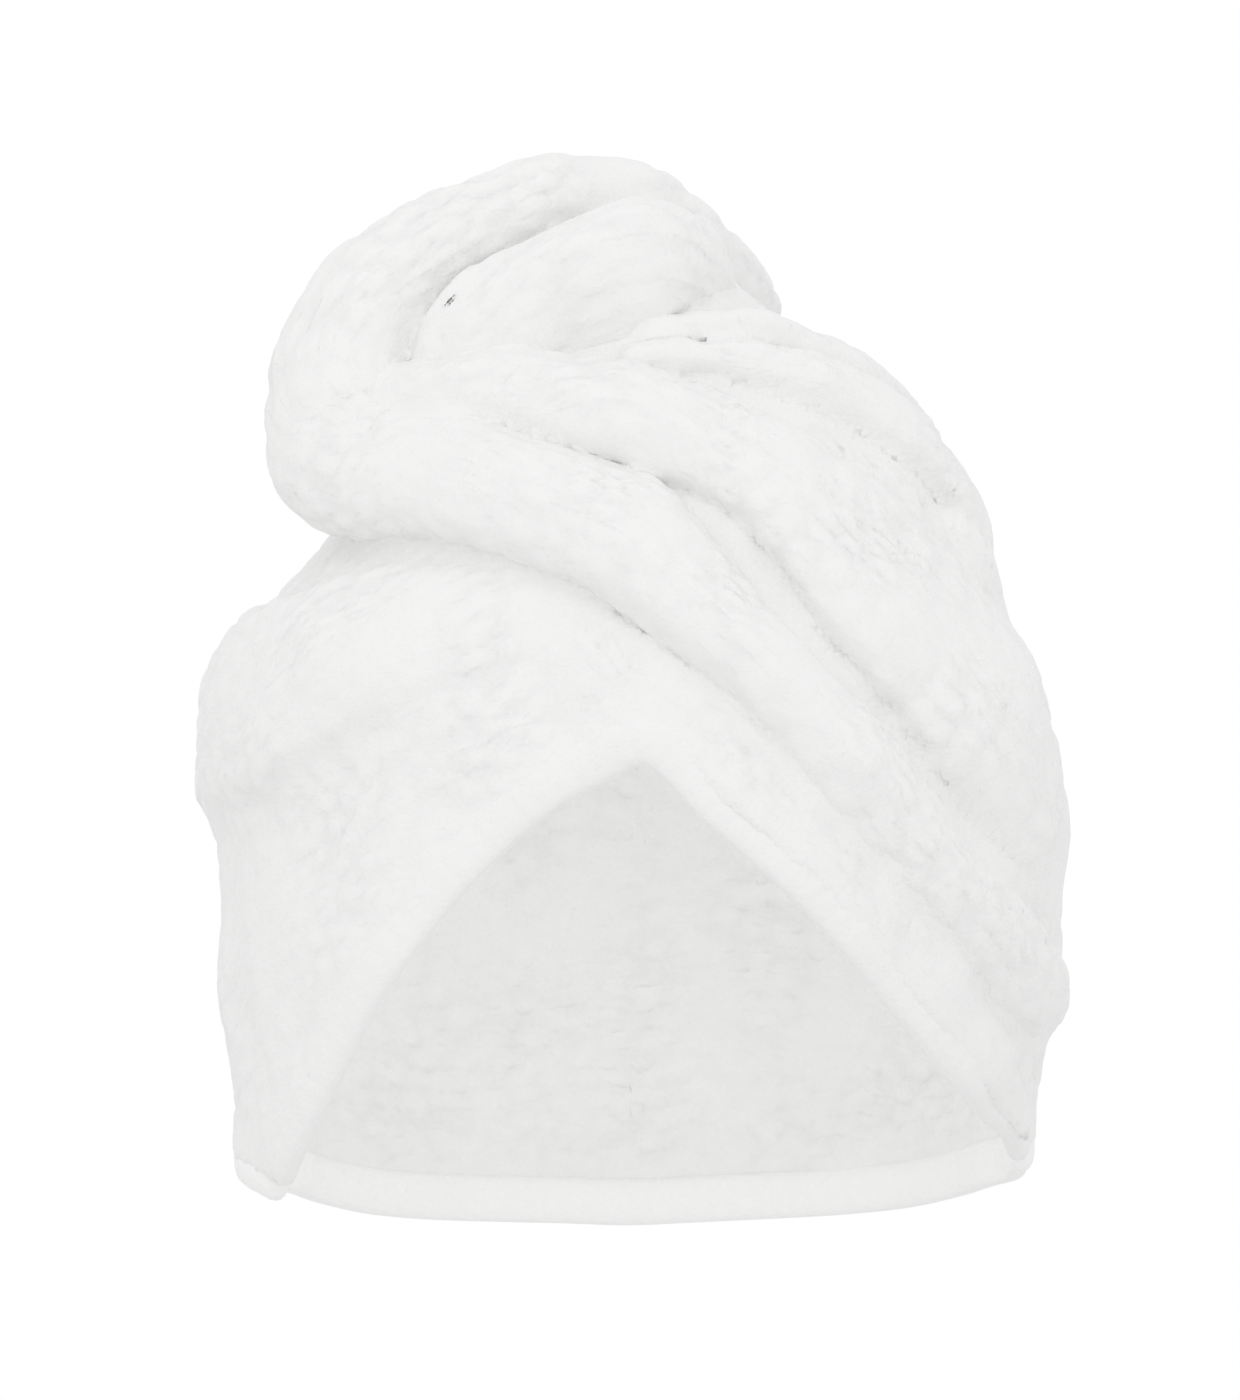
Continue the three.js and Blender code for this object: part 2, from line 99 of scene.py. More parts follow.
# The hood's cloth is turned in at its edges: how much thicker it is there, how far that reaches, and how
# slowly its weave begins
EDGE_RAISE = 1.7
EDGE_REACH = 8.0
LINING_RAISE = 0.4
EDGE_CALM = 0.3
EDGE_ROUND = 4.0

# Hems: points round and along each, how far the one round the face may rise with its fold and over how many
# points that is evened out, the squareness of their section, the small puckers of their edge, and the length
# round their section as a multiple of its width and thickness
HEM_SIDES = 20
FACE_HEM_POINTS = 330
NAPE_HEM_POINTS = 520
NAPE_HEM_PLACES = 25
HEM_LIFT_MOST = 3.5
HEM_LIFT_EVENED = 25
HEM_SIDE_POWER = 0.85
HEM_OUT_POWER = 0.8
PUCKER_PITCH = 5.5
PUCKER_HEIGHT = 0.03
HEM_ROUND_LENGTH = 1.6

# Weave: the pitch of its knobs along and across the cloth, how far each strays, and how deep its pits are
KNOB_LONG = 8.4
KNOB_SHORT = 5.8
KNOB_SCATTER = 0.4
KNOB_EDGE = 0.2
PIT_MIDDLE = 0.66
PIT_DEPTH = 0.9
LINING_PIT_DEPTH = 0.7
CALM_WIDTH = 4.0

# Knobs round the hood, and how far the rows of its outside lean up towards the peak, in degrees
WEAVE_TURNS = 80
ROW_LEAN = 24.0

# How far the rows wander, and how strong the weave is: its middle, its change in patches, and its limits
WEAVE_WANDER = 2.2
WANDER_LENGTHS = (30.0, 80.0)
WANDER_WAVES = 12
PATCH_LENGTHS = (25.0, 60.0)
PATCH_WAVES = 10
WOVEN_MIDDLE = 0.75
WOVEN_CHANGE = 0.4
WOVEN_LEAST = 0.15
WOVEN_MOST = 1.2

# Factors of the fixed random shares that place the knobs
STRAY_ALONG = (127.1, 311.7)
STRAY_ACROSS = (269.5, 183.3)
STRAY_SPREAD = 43758.5

# Soft unevenness of the cloth
SWELL_RELIEF = 0.8
SWELL_LENGTHS = (22.0, 55.0)
SWELL_WAVES = 26
SEED = 7

# Dashes between the rows of knobs: how much the rows waver, how narrow and deep the dashes are and how much
# painted shade darkens their colour, where a noise lets them through, and how much painted shade darkens the
# colour of the pits beside them
ROW_WOBBLE = 1.3
ROW_NOISE = {"Scale": 0.9, "Detail": 1.0}
ROW_SHARPNESS = 3.0
DASH_DEPTH = 0.14
DASH_PAINTED_SHADE = 0.4
DASH_NOISE = {"Scale": 1.8, "Detail": 1.0}
DASH_GATE = (0.42, 0.66, 0.0, 1.0)
PIT_PAINTED_SHADE = 0.35

# Terry pile: a fine noise and tufts, per metre, with their heights, and how the tufts change the painted
# shade in the pits
PILE_NOISE = {"Scale": 1100.0, "Detail": 3.0}
PILE_HEIGHT = 0.2
TUFT_NOISE = {"Scale": 380.0, "Detail": 2.0}
TUFT_HEIGHT = 0.35
TUFT_CONTRAST = (0.3, 0.7, 0.6, 1.4)

# Numbers of the colour mix node's sockets, as their names aren't unique
MIX_FIRST, MIX_SECOND, MIX_COLOUR = 6, 7, 2

# Finishes
CLOTH_FINISH = {"Roughness": 0.95, "Specular IOR Level": 0.15, "Sheen Weight": 0.25, "Sheen Roughness": 0.6}
CLOTH_LIGHT = (0.915, 0.915, 0.91, 1)
# Painted shade: the towelling's colour is darkened towards this in the pits between its knobs and along the
# dashes between its rows
CLOTH_PIT_PAINTED_SHADE = (0.83, 0.83, 0.828, 1)
# Painted light: the turned hem at the nape is a lighter copy of the towelling where it catches the light, and
# its pits still get painted shade
HEM_PAINTED_LIGHT = (0.96, 0.96, 0.955, 1)
HEM_PIT_PAINTED_LIGHT_AND_SHADE = (0.87, 0.87, 0.87, 1)
BUTTON_COLOUR = (0.82, 0.82, 0.8, 1)
BUTTON_ROUGHNESS = 0.35
FLOOR_COLOUR = (0.86, 0.86, 0.86, 1)
FLOOR_ROUGHNESS = 0.9

# Stage and camera, in metres, with the lens in millimetres
FLOOR_HEIGHT = -0.42
FLOOR_RADIUS = 1.6
FLOOR_SIDES = 96
CAMERA_PLACE = (-0.005, -3.5, -0.055)
CAMERA_LENS = 360
SENSOR_WIDTH = 36
CAMERA_REACH = 20

# Soft lamps: name, place, aim, size and power in watts
LIGHTS = (
    ("key", (-0.4, -1.9, 1.9), (0, 0, -0.05), 1.6, 6),
    ("fill", (0.25, -3.3, -0.2), (0, 0, -0.08), 1.6, 5),
)

# A small lamp in the head's place: the inside of the towel is nearly as bright as its outside in the photo
INNER_PLACE = (0, -0.01, -0.1)
INNER_RADIUS = 0.03
INNER_POWER = 0.068

# The world shows as plain white and lights the part less than that, so that the lamps can model it
WORLD_SHOWN = 1.0
WORLD_LIGHT = 0.9

MM = 0.001

# Numbers of the parts of a surface: the rolls follow the first two
OUTSIDE, LINING = 0, 1
FIRST_ROLL = 2

HALF_WIDTH = HOOD_WIDTH / 2
HALF_DEPTH = HOOD_DEPTH / 2
HEAD_MIDDLE = np.array([0.0, 0.0, -HOOD_DROP * MIDDLE_DROP])


def table(columns, rows):
    """A table as a dict of its columns."""
    return {name: [row[index] for row in rows] for index, name in enumerate(columns)}


def height_of(share):
    """Heights of shares of the hood's drop below the crown, or of the coil's rise above it."""
    share = np.asarray(share, float)
    return share * np.where(share < 0, HOOD_DROP, BUN_RISE)


# The hood's outside: how far each section reaches to each side, in shares as in the CAD part
SECTIONS = table(("height", "left", "right", "front", "back"), [
    (-1.05, 0.85, 0.83, 0.89, 0.84),
    (-0.934, 0.89, 0.865, 0.914, 0.886),
    (-0.824, 0.925, 0.9, 0.943, 0.943),
    (-0.687, 0.95, 0.94, 0.962, 0.99),
    (-0.549, 0.95, 0.96, 0.962, 1.019),
    (-0.44, 0.948, 0.962, 0.952, 1.019),
    (-0.33, 0.985, 0.945, 0.933, 1.0),
    (-0.247, 0.955, 0.9, 0.905, 0.962),
    (-0.165, 0.86, 0.82, 0.857, 0.895),
    (-0.082, 0.72, 0.748, 0.8, 0.8),
    (0, 0.63, 0.68, 0.72, 0.686),
    (0.195, 0.56, 0.57, 0.6, 0.552),
    (0.39, 0.5, 0.4, 0.48, 0.429),
    (0.584, 0.42, 0.24, 0.36, 0.3),
    (0.753, 0.3, 0.1, 0.24, 0.18),
    (0.83, 0.2, 0.02, 0.12, 0.08),
])

# The lower edge, by the turn round the head: 0 is the face, 90 the right side, 180 the nape
RIM = table(("turn", "height"), [
    (-180, -0.968),
    (-140, -0.952),
    (-110, -0.91),
    (-85, -0.888),
    (-60, -0.92),
    (0, -0.93),
    (60, -0.9),
    (85, -0.875),
    (110, -0.905),
    (140, -0.945),
    (180, -0.968),
])

# The middle of the rolled hem round the face
FACE_EDGE = table(("across", "height"), [
    (-0.805, -0.91),
    (-0.725, -0.793),
    (-0.595, -0.647),
    (-0.43, -0.517),
    (-0.24, -0.414),
    (-0.116, -0.371),
    (0.018, -0.342),
    (0.177, -0.424),
    (0.314, -0.496),
    (0.475, -0.596),
    (0.589, -0.676),
    (0.705, -0.763),
    (0.864, -0.872),
])

# Folds and rolls: rows along the middle line of each, as in the CAD part
FRONT = "front"
BACK = "back"
ROLL_COLUMNS = ("across", "depth", "height", "lift", "wide", "thick")

HOOD_FOLDS = {
    "forehead_band": table(ROLL_COLUMNS, [
        (-0.24, FRONT, -0.15, -0.1, 0.2, 0.12),
        (-0.13, FRONT, -0.22, -0.06, 0.6, 0.26),
        (-0.01, FRONT, -0.285, -0.06, 0.8, 0.3),
        (0.14, FRONT, -0.36, -0.06, 0.85, 0.3),
        (0.3, FRONT, -0.455, -0.06, 0.82, 0.3),
        (0.46, FRONT, -0.555, -0.06, 0.8, 0.28),
        (0.62, FRONT, -0.67, -0.08, 0.72, 0.24),
        (0.77, FRONT, -0.785, -0.1, 0.55, 0.2),
        (0.84, FRONT, -0.85, -0.1, 0.25, 0.1),
    ]),
    "left_panel": table(ROLL_COLUMNS, [
        (-0.84, BACK, -0.38, -0.25, 0.5, 0.2),
        (-0.95, 0.12, -0.34, -0.15, 0.9, 0.34),
        (-0.95, -0.16, -0.31, -0.14, 1.1, 0.36),
        (-0.8, FRONT, -0.255, -0.14, 1.2, 0.36),
        (-0.6, FRONT, -0.21, -0.14, 0.95, 0.32),
        (-0.42, FRONT, -0.19, -0.15, 0.6, 0.26),
        (-0.3, FRONT, -0.19, -0.15, 0.25, 0.12),
    ]),
    "right_gather": table(ROLL_COLUMNS, [
        (-0.54, -0.4, 0.25, 0, 0.45, 0.4),
        (-0.4, -0.54, 0.23, 0, 0.6, 0.55),
        (-0.27, FRONT, 0.19, 0.2, 0.72, 0.6),
        (-0.11, FRONT, 0.165, 0.2, 0.86, 0.62),
        (0.045, FRONT, 0.135, 0.1, 0.9, 0.6),
        (0.205, FRONT, 0.06, 0.05, 0.9, 0.56),
        (0.364, FRONT, -0.04, 0, 1.05, 0.54),
        (0.5, FRONT, -0.125, 0, 1.22, 0.54),
        (0.63, FRONT, -0.21, 0, 1.3, 0.52),
        (0.76, FRONT, -0.31, -0.05, 1.3, 0.46),
        (0.88, FRONT, -0.42, -0.1, 1.1, 0.38),
        (0.95, 0.05, -0.52, -0.15, 0.8, 0.26),
        (0.92, 0.3, -0.6, -0.15, 0.35, 0.12),
    ]),
    "upper_gather": table(ROLL_COLUMNS, [
        (-0.02, FRONT, 0.35, 0.05, 0.2, 0.2),
        (0.18, FRONT, 0.345, 0.05, 0.38, 0.36),
        (0.32, FRONT, 0.3, 0.05, 0.46, 0.42),
        (0.45, FRONT, 0.23, 0.05, 0.55, 0.45),
        (0.57, FRONT, 0.12, 0.05, 0.64, 0.45),
        (0.67, FRONT, -0.01, 0.02, 0.72, 0.42),
        (0.75, FRONT, -0.1, -0.05, 0.74, 0.36),
        (0.82, 0.06, -0.19, -0.15, 0.6, 0.26),
        (0.87, 0.26, -0.28, -0.2, 0.25, 0.12),
    ]),
    "crown_gather": table(ROLL_COLUMNS, [
        (0.02, FRONT, 0.44, 0, 0.2, 0.2),
        (0.17, FRONT, 0.44, 0.05, 0.34, 0.34),
        (0.31, -0.28, 0.4, 0, 0.44, 0.4),
        (0.46, -0.12, 0.31, 0, 0.52, 0.42),
        (0.59, 0.08, 0.17, -0.05, 0.54, 0.4),
        (0.63, BACK, 0.02, -0.1, 0.44, 0.3),
        (0.66, BACK, -0.1, -0.2, 0.2, 0.15),
    ]),
}

# How each fold joins what it lies on: the depth of the valley beside it and the width over which it blends in
JOINS = {
    "forehead_band": {"valley": 0.5, "blend": 5.0},
    "left_panel": {"valley": 0.0, "blend": 10.0},
    "right_gather": {"valley": 1.2, "blend": 5.0},
    "upper_gather": {"valley": 1.4, "blend": 3.0},
    "crown_gather": {"valley": 1.0, "blend": 4.0},
    "front_roll": {"valley": 1.6, "blend": 3.0},
    "inner_roll": {"valley": 1.6, "blend": 3.0},
    "back_fall": {"valley": 1.2, "blend": 5.0},
}

FRONT_ROLL = table(ROLL_COLUMNS, [
    (0.9, 0.2, -0.72, -0.15, 0.3, 0.15),
    (0.915, -0.1, -0.7, -0.05, 0.5, 0.28),
    (0.87, FRONT, -0.66, 0, 0.64, 0.4),
    (0.727, FRONT, -0.56, 0, 0.7, 0.5),
    (0.58, FRONT, -0.447, 0.05, 0.74, 0.58),
    (0.425, FRONT, -0.34, 0.05, 0.7, 0.6),
    (0.25, FRONT, -0.235, 0.05, 0.7, 0.62),
    (0.11, FRONT, -0.155, 0.05, 0.86, 0.64),
    (-0.045, FRONT, -0.085, 0.1, 0.9, 0.66),
    (-0.227, FRONT, -0.04, 0.15, 0.9, 0.7),
    (-0.41, FRONT, -0.01, 0.15, 0.96, 0.76),
    (-0.55, -0.46, 0.01, 0, 1.02, 0.86),
    (-0.66, -0.35, 0.1, 0, 1.06, 0.95),
    (-0.665, -0.3, 0.28, 0, 0.96, 0.98),
    (-0.61, -0.27, 0.46, 0, 0.86, 0.98),
    (-0.5, -0.25, 0.61, 0, 0.72, 0.92),
    (-0.37, -0.21, 0.735, 0, 0.6, 0.84),
    (-0.215, -0.14, 0.82, 0, 0.5, 0.74),
    (-0.07, -0.02, 0.82, 0, 0.42, 0.66),
    (0.06, 0.16, 0.7, 0, 0.3, 0.3),
])

INNER_ROLL = table(ROLL_COLUMNS, [
    (-0.47, -0.36, 0.26, 0, 0.4, 0.45),
    (-0.37, -0.4, 0.41, 0, 0.72, 0.8),
    (-0.2, -0.4, 0.54, 0, 0.8, 0.95),
    (-0.045, -0.36, 0.62, 0, 0.86, 1.0),
    (0.08, -0.25, 0.62, 0, 0.56, 0.8),
    (0.17, -0.1, 0.55, 0, 0.32, 0.5),
    (0.2, 0.05, 0.46, 0, 0.2, 0.3),
])

BACK_FALL = table(ROLL_COLUMNS, [
    (-0.2, -0.1, 0.83, 0, 0.3, 0.3),
    (-0.07, 0.02, 0.84, 0, 0.5, 0.42),
    (0.05, 0.2, 0.72, 0, 0.72, 0.44),
    (0.09, 0.44, 0.5, 0, 0.88, 0.42),
    (0.07, 0.7, 0.14, 0, 0.96, 0.38),
    (0.04, 0.9, -0.14, 0, 1.0, 0.34),
    (0.01, 1.0, -0.3, 0, 1.0, 0.3),
    (0, 1.035, -0.47, 0, 0.94, 0.28),
    (0, 1.02, -0.64, 0, 0.82, 0.25),
    (0, 0.975, -0.78, 0, 0.66, 0.22),
    (0, 0.945, -0.86, 0, 0.5, 0.18),
    (0, 0.93, -0.895, 0, 0.3, 0.12),
])

# How far down the tail's last fall the button sits, and its section
BUTTON_ALONG = 0.83
BUTTON_PROFILE = table(("radius", "height"), [
    (0, 0),
    (0.86, 0),
    (0.95, 0.1),
    (1, 0.32),
    (1, 0.6),
    (0.96, 0.86),
    (0.88, 0.98),
    (0.78, 1),
    (0.7, 0.9),
    (0.6, 0.76),
    (0.4, 0.7),
    (0, 0.68),
])

# Creases of the front: how deep and how wide each one is, and its line of (across, height), in millimetres
CREASES = [
    (1.8, 2.6, [(-78, -16), (-66, -17), (-40, -20), (-10, -29), (15, -49), (35, -66)]),
    (2.2, 2.8, [(-48, 21), (-40, 15), (-32, 12), (-20, 7), (0, 1)]),
    (3.0, 6.0, [(8, 0), (20, -14), (35, -35), (52, -55), (82, -87), (97, -112)]),
    (2.4, 2.6, [(4, 27), (15, 25), (37, 15), (65, 0), (82, -12), (91, -30)]),
    (2.4, 2.6, [(0, 72), (-25, 60), (-38, 51), (-48, 38), (-52, 23)]),
    (1.6, 2.0, [(4, 38), (15, 42), (31, 45)]),
    (1.4, 2.0, [(10, 34), (25, 32), (42, 30)]),
    (1.4, 1.8, [(-74, 17), (-69, 12), (-64, 10)]),
    (1.4, 2.2, [(-96, -33), (-85, -28), (-73, -24)]),
    (1.6, 1.8, [(0, -71), (-16, -53)]),
    (1.0, 2.2, [(-20, -28), (-5, -42), (15, -60), (48, -88), (78, -118)]),
]


def eased(start, slope_start, end, slope_end, share):
    """A cubic curve from one value to another with given slopes at its ends."""
    square = share * share
    cube = square * share
    return (
        start * (2 * cube - 3 * square + 1)
        + slope_start * (cube - 2 * square + share)
        + end * (3 * square - 2 * cube)
        + slope_end * (cube - square)
    )


def column_at(rows, key, place, column):
    """Smooth values of one column of a table at places given by another column."""
    keys = np.asarray(rows[key], float)
    values = np.asarray(rows[column], float)
    place = np.asarray(place, float)
    index = np.clip(np.searchsorted(keys, place) - 1, 0, len(keys) - 2)
    before = np.maximum(index - 1, 0)
    after = np.minimum(index + 2, len(keys) - 1)
    span = keys[index + 1] - keys[index]
    share = np.clip((place - keys[index]) / span, 0, 1)
    slope_start = (values[index + 1] - values[before]) / (keys[index + 1] - keys[before]) * span
    slope_end = (values[after] - values[index]) / (keys[after] - keys[index]) * span
    return eased(values[index], slope_start, values[index + 1], slope_end, share)


def section_at(z, grow=0.0):
    """Middle, half width, front and back reach of the hood's outside at heights."""
    z = np.asarray(z, float)
    share = z / np.where(z < 0, HOOD_DROP, BUN_RISE)
    left = column_at(SECTIONS, "height", share, "left") * HALF_WIDTH
    right = column_at(SECTIONS, "height", share, "right") * HALF_WIDTH
    front = column_at(SECTIONS, "height", share, "front") * HALF_DEPTH + grow
    back = column_at(SECTIONS, "height", share, "back") * HALF_DEPTH + grow
    return (right - left) / 2, (right + left) / 2 + grow, front, back


def surface_depth(x, z, front, grow=0.0):
    """Depth of the hood's outside before or behind a place across and a height."""
    middle, half, ahead, behind = section_at(z, grow)
    share = np.clip(np.abs(x - middle) / half, 0, 1)
    reach = (1 - share**SQUARENESS) ** (1 / SQUARENESS)
    return -ahead * reach if front else behind * reach


def turn_at(x, y, z, grow=0.0):
    """Turn round the head in degrees, 0 at the face and 90 at the right side."""
    middle, half, front, back = section_at(z, grow)
    side = np.sign(x - middle) * (np.abs(x - middle) / half) ** (SQUARENESS / 2)
    reach = np.where(y < 0, front, back)
    ahead = -np.sign(y) * (np.abs(y) / reach) ** (SQUARENESS / 2)
    return np.degrees(np.arctan2(side, ahead))


def unit(vectors):
    return vectors / np.maximum(np.linalg.norm(vectors, axis=-1, keepdims=True), LEAST_LENGTH)


def run_along(points):
    """How far along a path each of its points is."""
    return np.concatenate([[0], np.cumsum(np.linalg.norm(np.diff(points, axis=0), axis=1))])


def smooth_path(points, shares):
    """Points of a centripetal Catmull-Rom curve through a list of points."""
    points = np.asarray(points, float)
    ends = [2 * points[0] - points[1], 2 * points[-1] - points[-2]]
    whole = np.vstack([ends[0], points, ends[1]])
    place = np.asarray(shares) * (len(points) - 1)
    index = np.clip(np.floor(place).astype(int), 0, len(points) - 2)
    share = (place - index)[:, None]
    a, b, c, d = (whole[index + k] for k in range(4))
    gap_ab, gap_bc, gap_cd = (
        np.sqrt(np.linalg.norm(q - p, axis=1, keepdims=True)) for p, q in ((a, b), (b, c), (c, d))
    )
    start = ((b - a) / gap_ab - (c - a) / (gap_ab + gap_bc) + (c - b) / gap_bc) * gap_bc
    end = ((c - b) / gap_bc - (d - b) / (gap_bc + gap_cd) + (d - c) / gap_cd) * gap_bc
    return eased(b, start, c, end, share)


def frames_along(points):
    """Directions along, sideways and outward from the head at the points of a path."""
    along = unit(np.gradient(points, axis=0))
    outward = points - HEAD_MIDDLE
    outward = unit(outward - along * np.sum(outward * along, axis=1, keepdims=True))
    return along, np.cross(outward, along), outward


class Roll:
    """A roll of cloth through the rows of a table, sampled evenly along its path."""

    def __init__(self, name, rows, radius):
        self.name = name
        count = len(rows["across"])
        places = []
        for row in range(count):
            x = rows["across"][row] * HALF_WIDTH
            z = float(height_of(rows["height"][row]))
            depth = rows["depth"][row]
            if depth in (FRONT, BACK):
                y = float(surface_depth(x, z, depth == FRONT))
            else:
                y = depth * HALF_DEPTH
            place = np.array([x, y, z])
            places.append(place + unit(place - HEAD_MIDDLE) * rows["lift"][row] * radius)
        length = run_along(smooth_path(places, np.linspace(0, 1, ROUGH_PATH_POINTS)))[-1]
        shares = np.linspace(0, 1, int(length / PATH_STEP) + 1)
        self.place = smooth_path(places, shares)
        self.along, self.sideways, self.outward = frames_along(self.place)
        index = {"index": list(range(count)), "wide": rows["wide"], "thick": rows["thick"]}
        self.wide = column_at(index, "index", shares * (count - 1), "wide") * radius
        self.thick = column_at(index, "index", shares * (count - 1), "thick") * radius
        self.run = run_along(self.place)
        self.proud = np.clip(self.thick / (VALLEY_FULL_AT * radius), 0, 1)

    def local(self, points, nearest):
        """Along, sideways and outward offsets of points from their nearest samples."""
        offset = points - self.place[nearest]
        axes = (self.along, self.sideways, self.outward)
        return tuple(np.sum(offset * axis[nearest], axis=1) for axis in axes)

    def nearest_to(self, points):
        """The number of the sample that is nearest to each point."""
        best = np.full(len(points), np.inf)
        nearest = np.zeros(len(points), int)
        for index, place in enumerate(self.place):
            distance = np.sum((points - place) ** 2, axis=1)
            closer = distance < best
            best[closer] = distance[closer]
            nearest[closer] = index
        return nearest


class Grid:
    """A box of evenly spaced points."""

    def __init__(self, step):
        self.step = step
        self.low = np.array(GRID_LOW)
        self.axes = [np.arange(low, high + step, step) for low, high in zip(GRID_LOW, GRID_HIGH)]
        self.shape = tuple(len(axis) for axis in self.axes)

    def spread(self):
        x, y, z = self.axes
        return x[:, None, None], y[None, :, None], z[None, None, :]

    def window(self, low, high):
        spans = []
        for axis in range(3):
            start = np.searchsorted(self.axes[axis], low[axis])
            stop = np.searchsorted(self.axes[axis], high[axis])
            spans.append(slice(int(start), int(stop)))
        return tuple(spans)

    def gradient(self, field):
        return np.stack(np.gradient(field, self.step), axis=-1)

    def sample(self, field, points):
        """Values of a field between its points."""
        place = (points - self.low) / self.step
        limit = np.array(self.shape) - 2
        cell = np.clip(np.floor(place).astype(int), 0, limit)
        share = place - cell
        total = 0
        for corner in range(8):
            pick = np.array([corner & 1, (corner >> 1) & 1, (corner >> 2) & 1])
            weight = np.prod(np.where(pick, share, 1 - share), axis=1)
            spot = cell + pick
            value = field[spot[:, 0], spot[:, 1], spot[:, 2]]
            total = total + (weight[:, None] * value if value.ndim > 1 else weight * value)
        return total


def evened(field, grid):
    """A field divided by its slope, so that it reads as a distance near its surface."""
    slope = np.linalg.norm(grid.gradient(field), axis=-1)
    return field / np.maximum(slope, LEAST_STEEPNESS)


def rounding(gap, width):
    """How far a rounded join of two fields moves their surface, by the gap between the fields."""
    return np.maximum(width - np.abs(gap), 0) ** 2 / width / 4


def ring_at(grid, grow):
    """How far out each place of a grid is from the hood's middle line, with 1 at its outside."""
    x, y, z = grid.spread()
    middle, half, front, back = section_at(grid.axes[2], grow)
    across = np.abs(x - middle[None, None, :]) / half[None, None, :]
    reach = np.where(y < 0, front[None, None, :], back[None, None, :])
    return (across**SQUARENESS + (np.abs(y) / reach) ** SQUARENESS) ** (1 / SQUARENESS)


def outside_field(grid, grow=0.0):
    """Distance to the hood's outside, open downwards."""
    tip = float(height_of(SECTIONS["height"][-1]))
    return np.maximum(evened(ring_at(grid, grow) - 1, grid), grid.spread()[2] - tip - grow)


def hollow_field(grid):
    """Distance to the space for the head, closed by a dome."""
    rise = np.maximum(1 + grid.spread()[2] / (DOME_START * HOOD_DROP), 0)
    dome = ring_at(grid, -CLOTH) ** DOME_SQUARENESS + rise**DOME_SQUARENESS
    return evened(dome ** (1 / DOME_SQUARENESS) - 1, grid)


def roll_field(grid, roll):
    """Distance to a roll and its nearest sample, with FAR and -1 away from it."""
    best = np.full(grid.shape, np.inf, np.float32)
    nearest = np.full(grid.shape, -1, np.int16)
    for index, place in enumerate(roll.place):
        reach = max(roll.wide[index], roll.thick[index]) + ROLL_MARGIN
        window = grid.window(place - reach, place + reach)
        x, y, z = (grid.axes[axis][window[axis]] - place[axis] for axis in range(3))
        distance = x[:, None, None] ** 2 + y[None, :, None] ** 2 + z[None, None, :] ** 2
        closer = distance < best[window]
        best[window][closer] = distance[closer]
        nearest[window][closer] = index
    found = np.nonzero(nearest >= 0)
    near = nearest[found].astype(int)
    points = np.stack([grid.axes[axis][found[axis]] for axis in range(3)], axis=1)
    along, sideways, outward = roll.local(points, near)
    last = len(roll.place) - 1
    past = np.where(near == 0, np.minimum(along, 0), np.where(near == last, np.maximum(along, 0), 0))
    wide, thick = roll.wide[near], roll.thick[near]
    scaled = np.sqrt((sideways / wide) ** 2 + (outward / thick) ** 2 + (past / thick) ** 2)
    steep = np.sqrt((sideways / wide**2) ** 2 + (outward / thick**2) ** 2 + (past / thick**2) ** 2)
    field = np.full(grid.shape, FAR, np.float32)
    field[found] = np.minimum(scaled * (scaled - 1) / np.maximum(steep, LEAST_STEEPNESS), FAR)
    return field, nearest


def folded(grid, rolls, field, label):
    """Joins rolls to a field one by one, with a valley where two parts meet.

    Returns the field, the number of the part that makes the surface, and how far each place is from a valley.
    """
    calm = np.full(grid.shape, FAR)
    for number, roll in enumerate(rolls):
        join = JOINS[roll.name]
        fold, nearest = roll_field(grid, roll)
        strength = np.where(nearest >= 0, roll.proud[np.maximum(nearest, 0)], 0)
        gap = np.where(nearest >= 0, np.abs(field - fold), FAR)
        valley = join["valley"] * strength * np.exp(-((gap / VALLEY_WIDTH) ** 2))
        if join["blend"] < BLENDED_IN:
            label = np.where(fold < field, FIRST_ROLL + number, label)
            calm = np.minimum(calm, gap)
        field = np.minimum(field, fold) - rounding(gap, join["blend"]) + valley
    return field, label, calm


def polygon_distance(x, z, corners):
    """Signed distance to a closed outline in the plane of x and z, below 0 inside."""
    corners = np.asarray(corners)
    best = np.full(x.shape, np.inf)
    inside = np.zeros(x.shape, bool)
    for start, end in zip(corners, np.roll(corners, -1, axis=0)):
        side = end - start
        length = max(side @ side, LEAST_LENGTH)
        share = np.clip(((x - start[0]) * side[0] + (z - start[1]) * side[1]) / length, 0, 1)
        best = np.minimum(best, np.hypot(x - start[0] - share * side[0], z - start[1] - share * side[1]))
        if side[1]:
            crosses = ((start[1] <= z) != (end[1] <= z)) & (x < start[0] + (z - start[1]) / side[1] * side[0])
            inside ^= crosses
    return np.where(inside, -best, best)


def face_points():
    """Points of the face's edge, in the middle of the cloth."""
    x = np.array(FACE_EDGE["across"]) * HALF_WIDTH
    z = height_of(FACE_EDGE["height"])
    y = surface_depth(x, z, True, -CLOTH / 2)
    return np.stack([x, y, z], axis=1)


def rim_height(turn):
    """Heights of the lower edge at turns round the head."""
    return height_of(column_at(RIM, "turn", turn, "height"))


def opening_field(grid):
    """Distance to the block that opens the face."""
    edge = smooth_path(face_points(), np.linspace(0, 1, FACE_EDGE_POINTS))
    outline = [(point[0], point[2]) for point in edge]
    below = -HOLLOW_BELOW * HOOD_DROP
    outline += [(outline[-1][0], below), (outline[0][0], below)]
    x, y, z = grid.spread()
    flat_x, flat_z = np.meshgrid(grid.axes[0], grid.axes[2], indexing="ij")
    flat = polygon_distance(flat_x, flat_z, outline)
    return np.maximum(flat[:, None, :], y)


def above_rim_field(grid):
    """Distance above the hood's lower edge."""
    x, y, z = grid.spread()
    low = np.full((1, 1), height_of(RIM_MIDDLE))
    turn = turn_at(x[:, :, 0], y[:, :, 0], low)
    return z - rim_height(turn)[:, :, None]


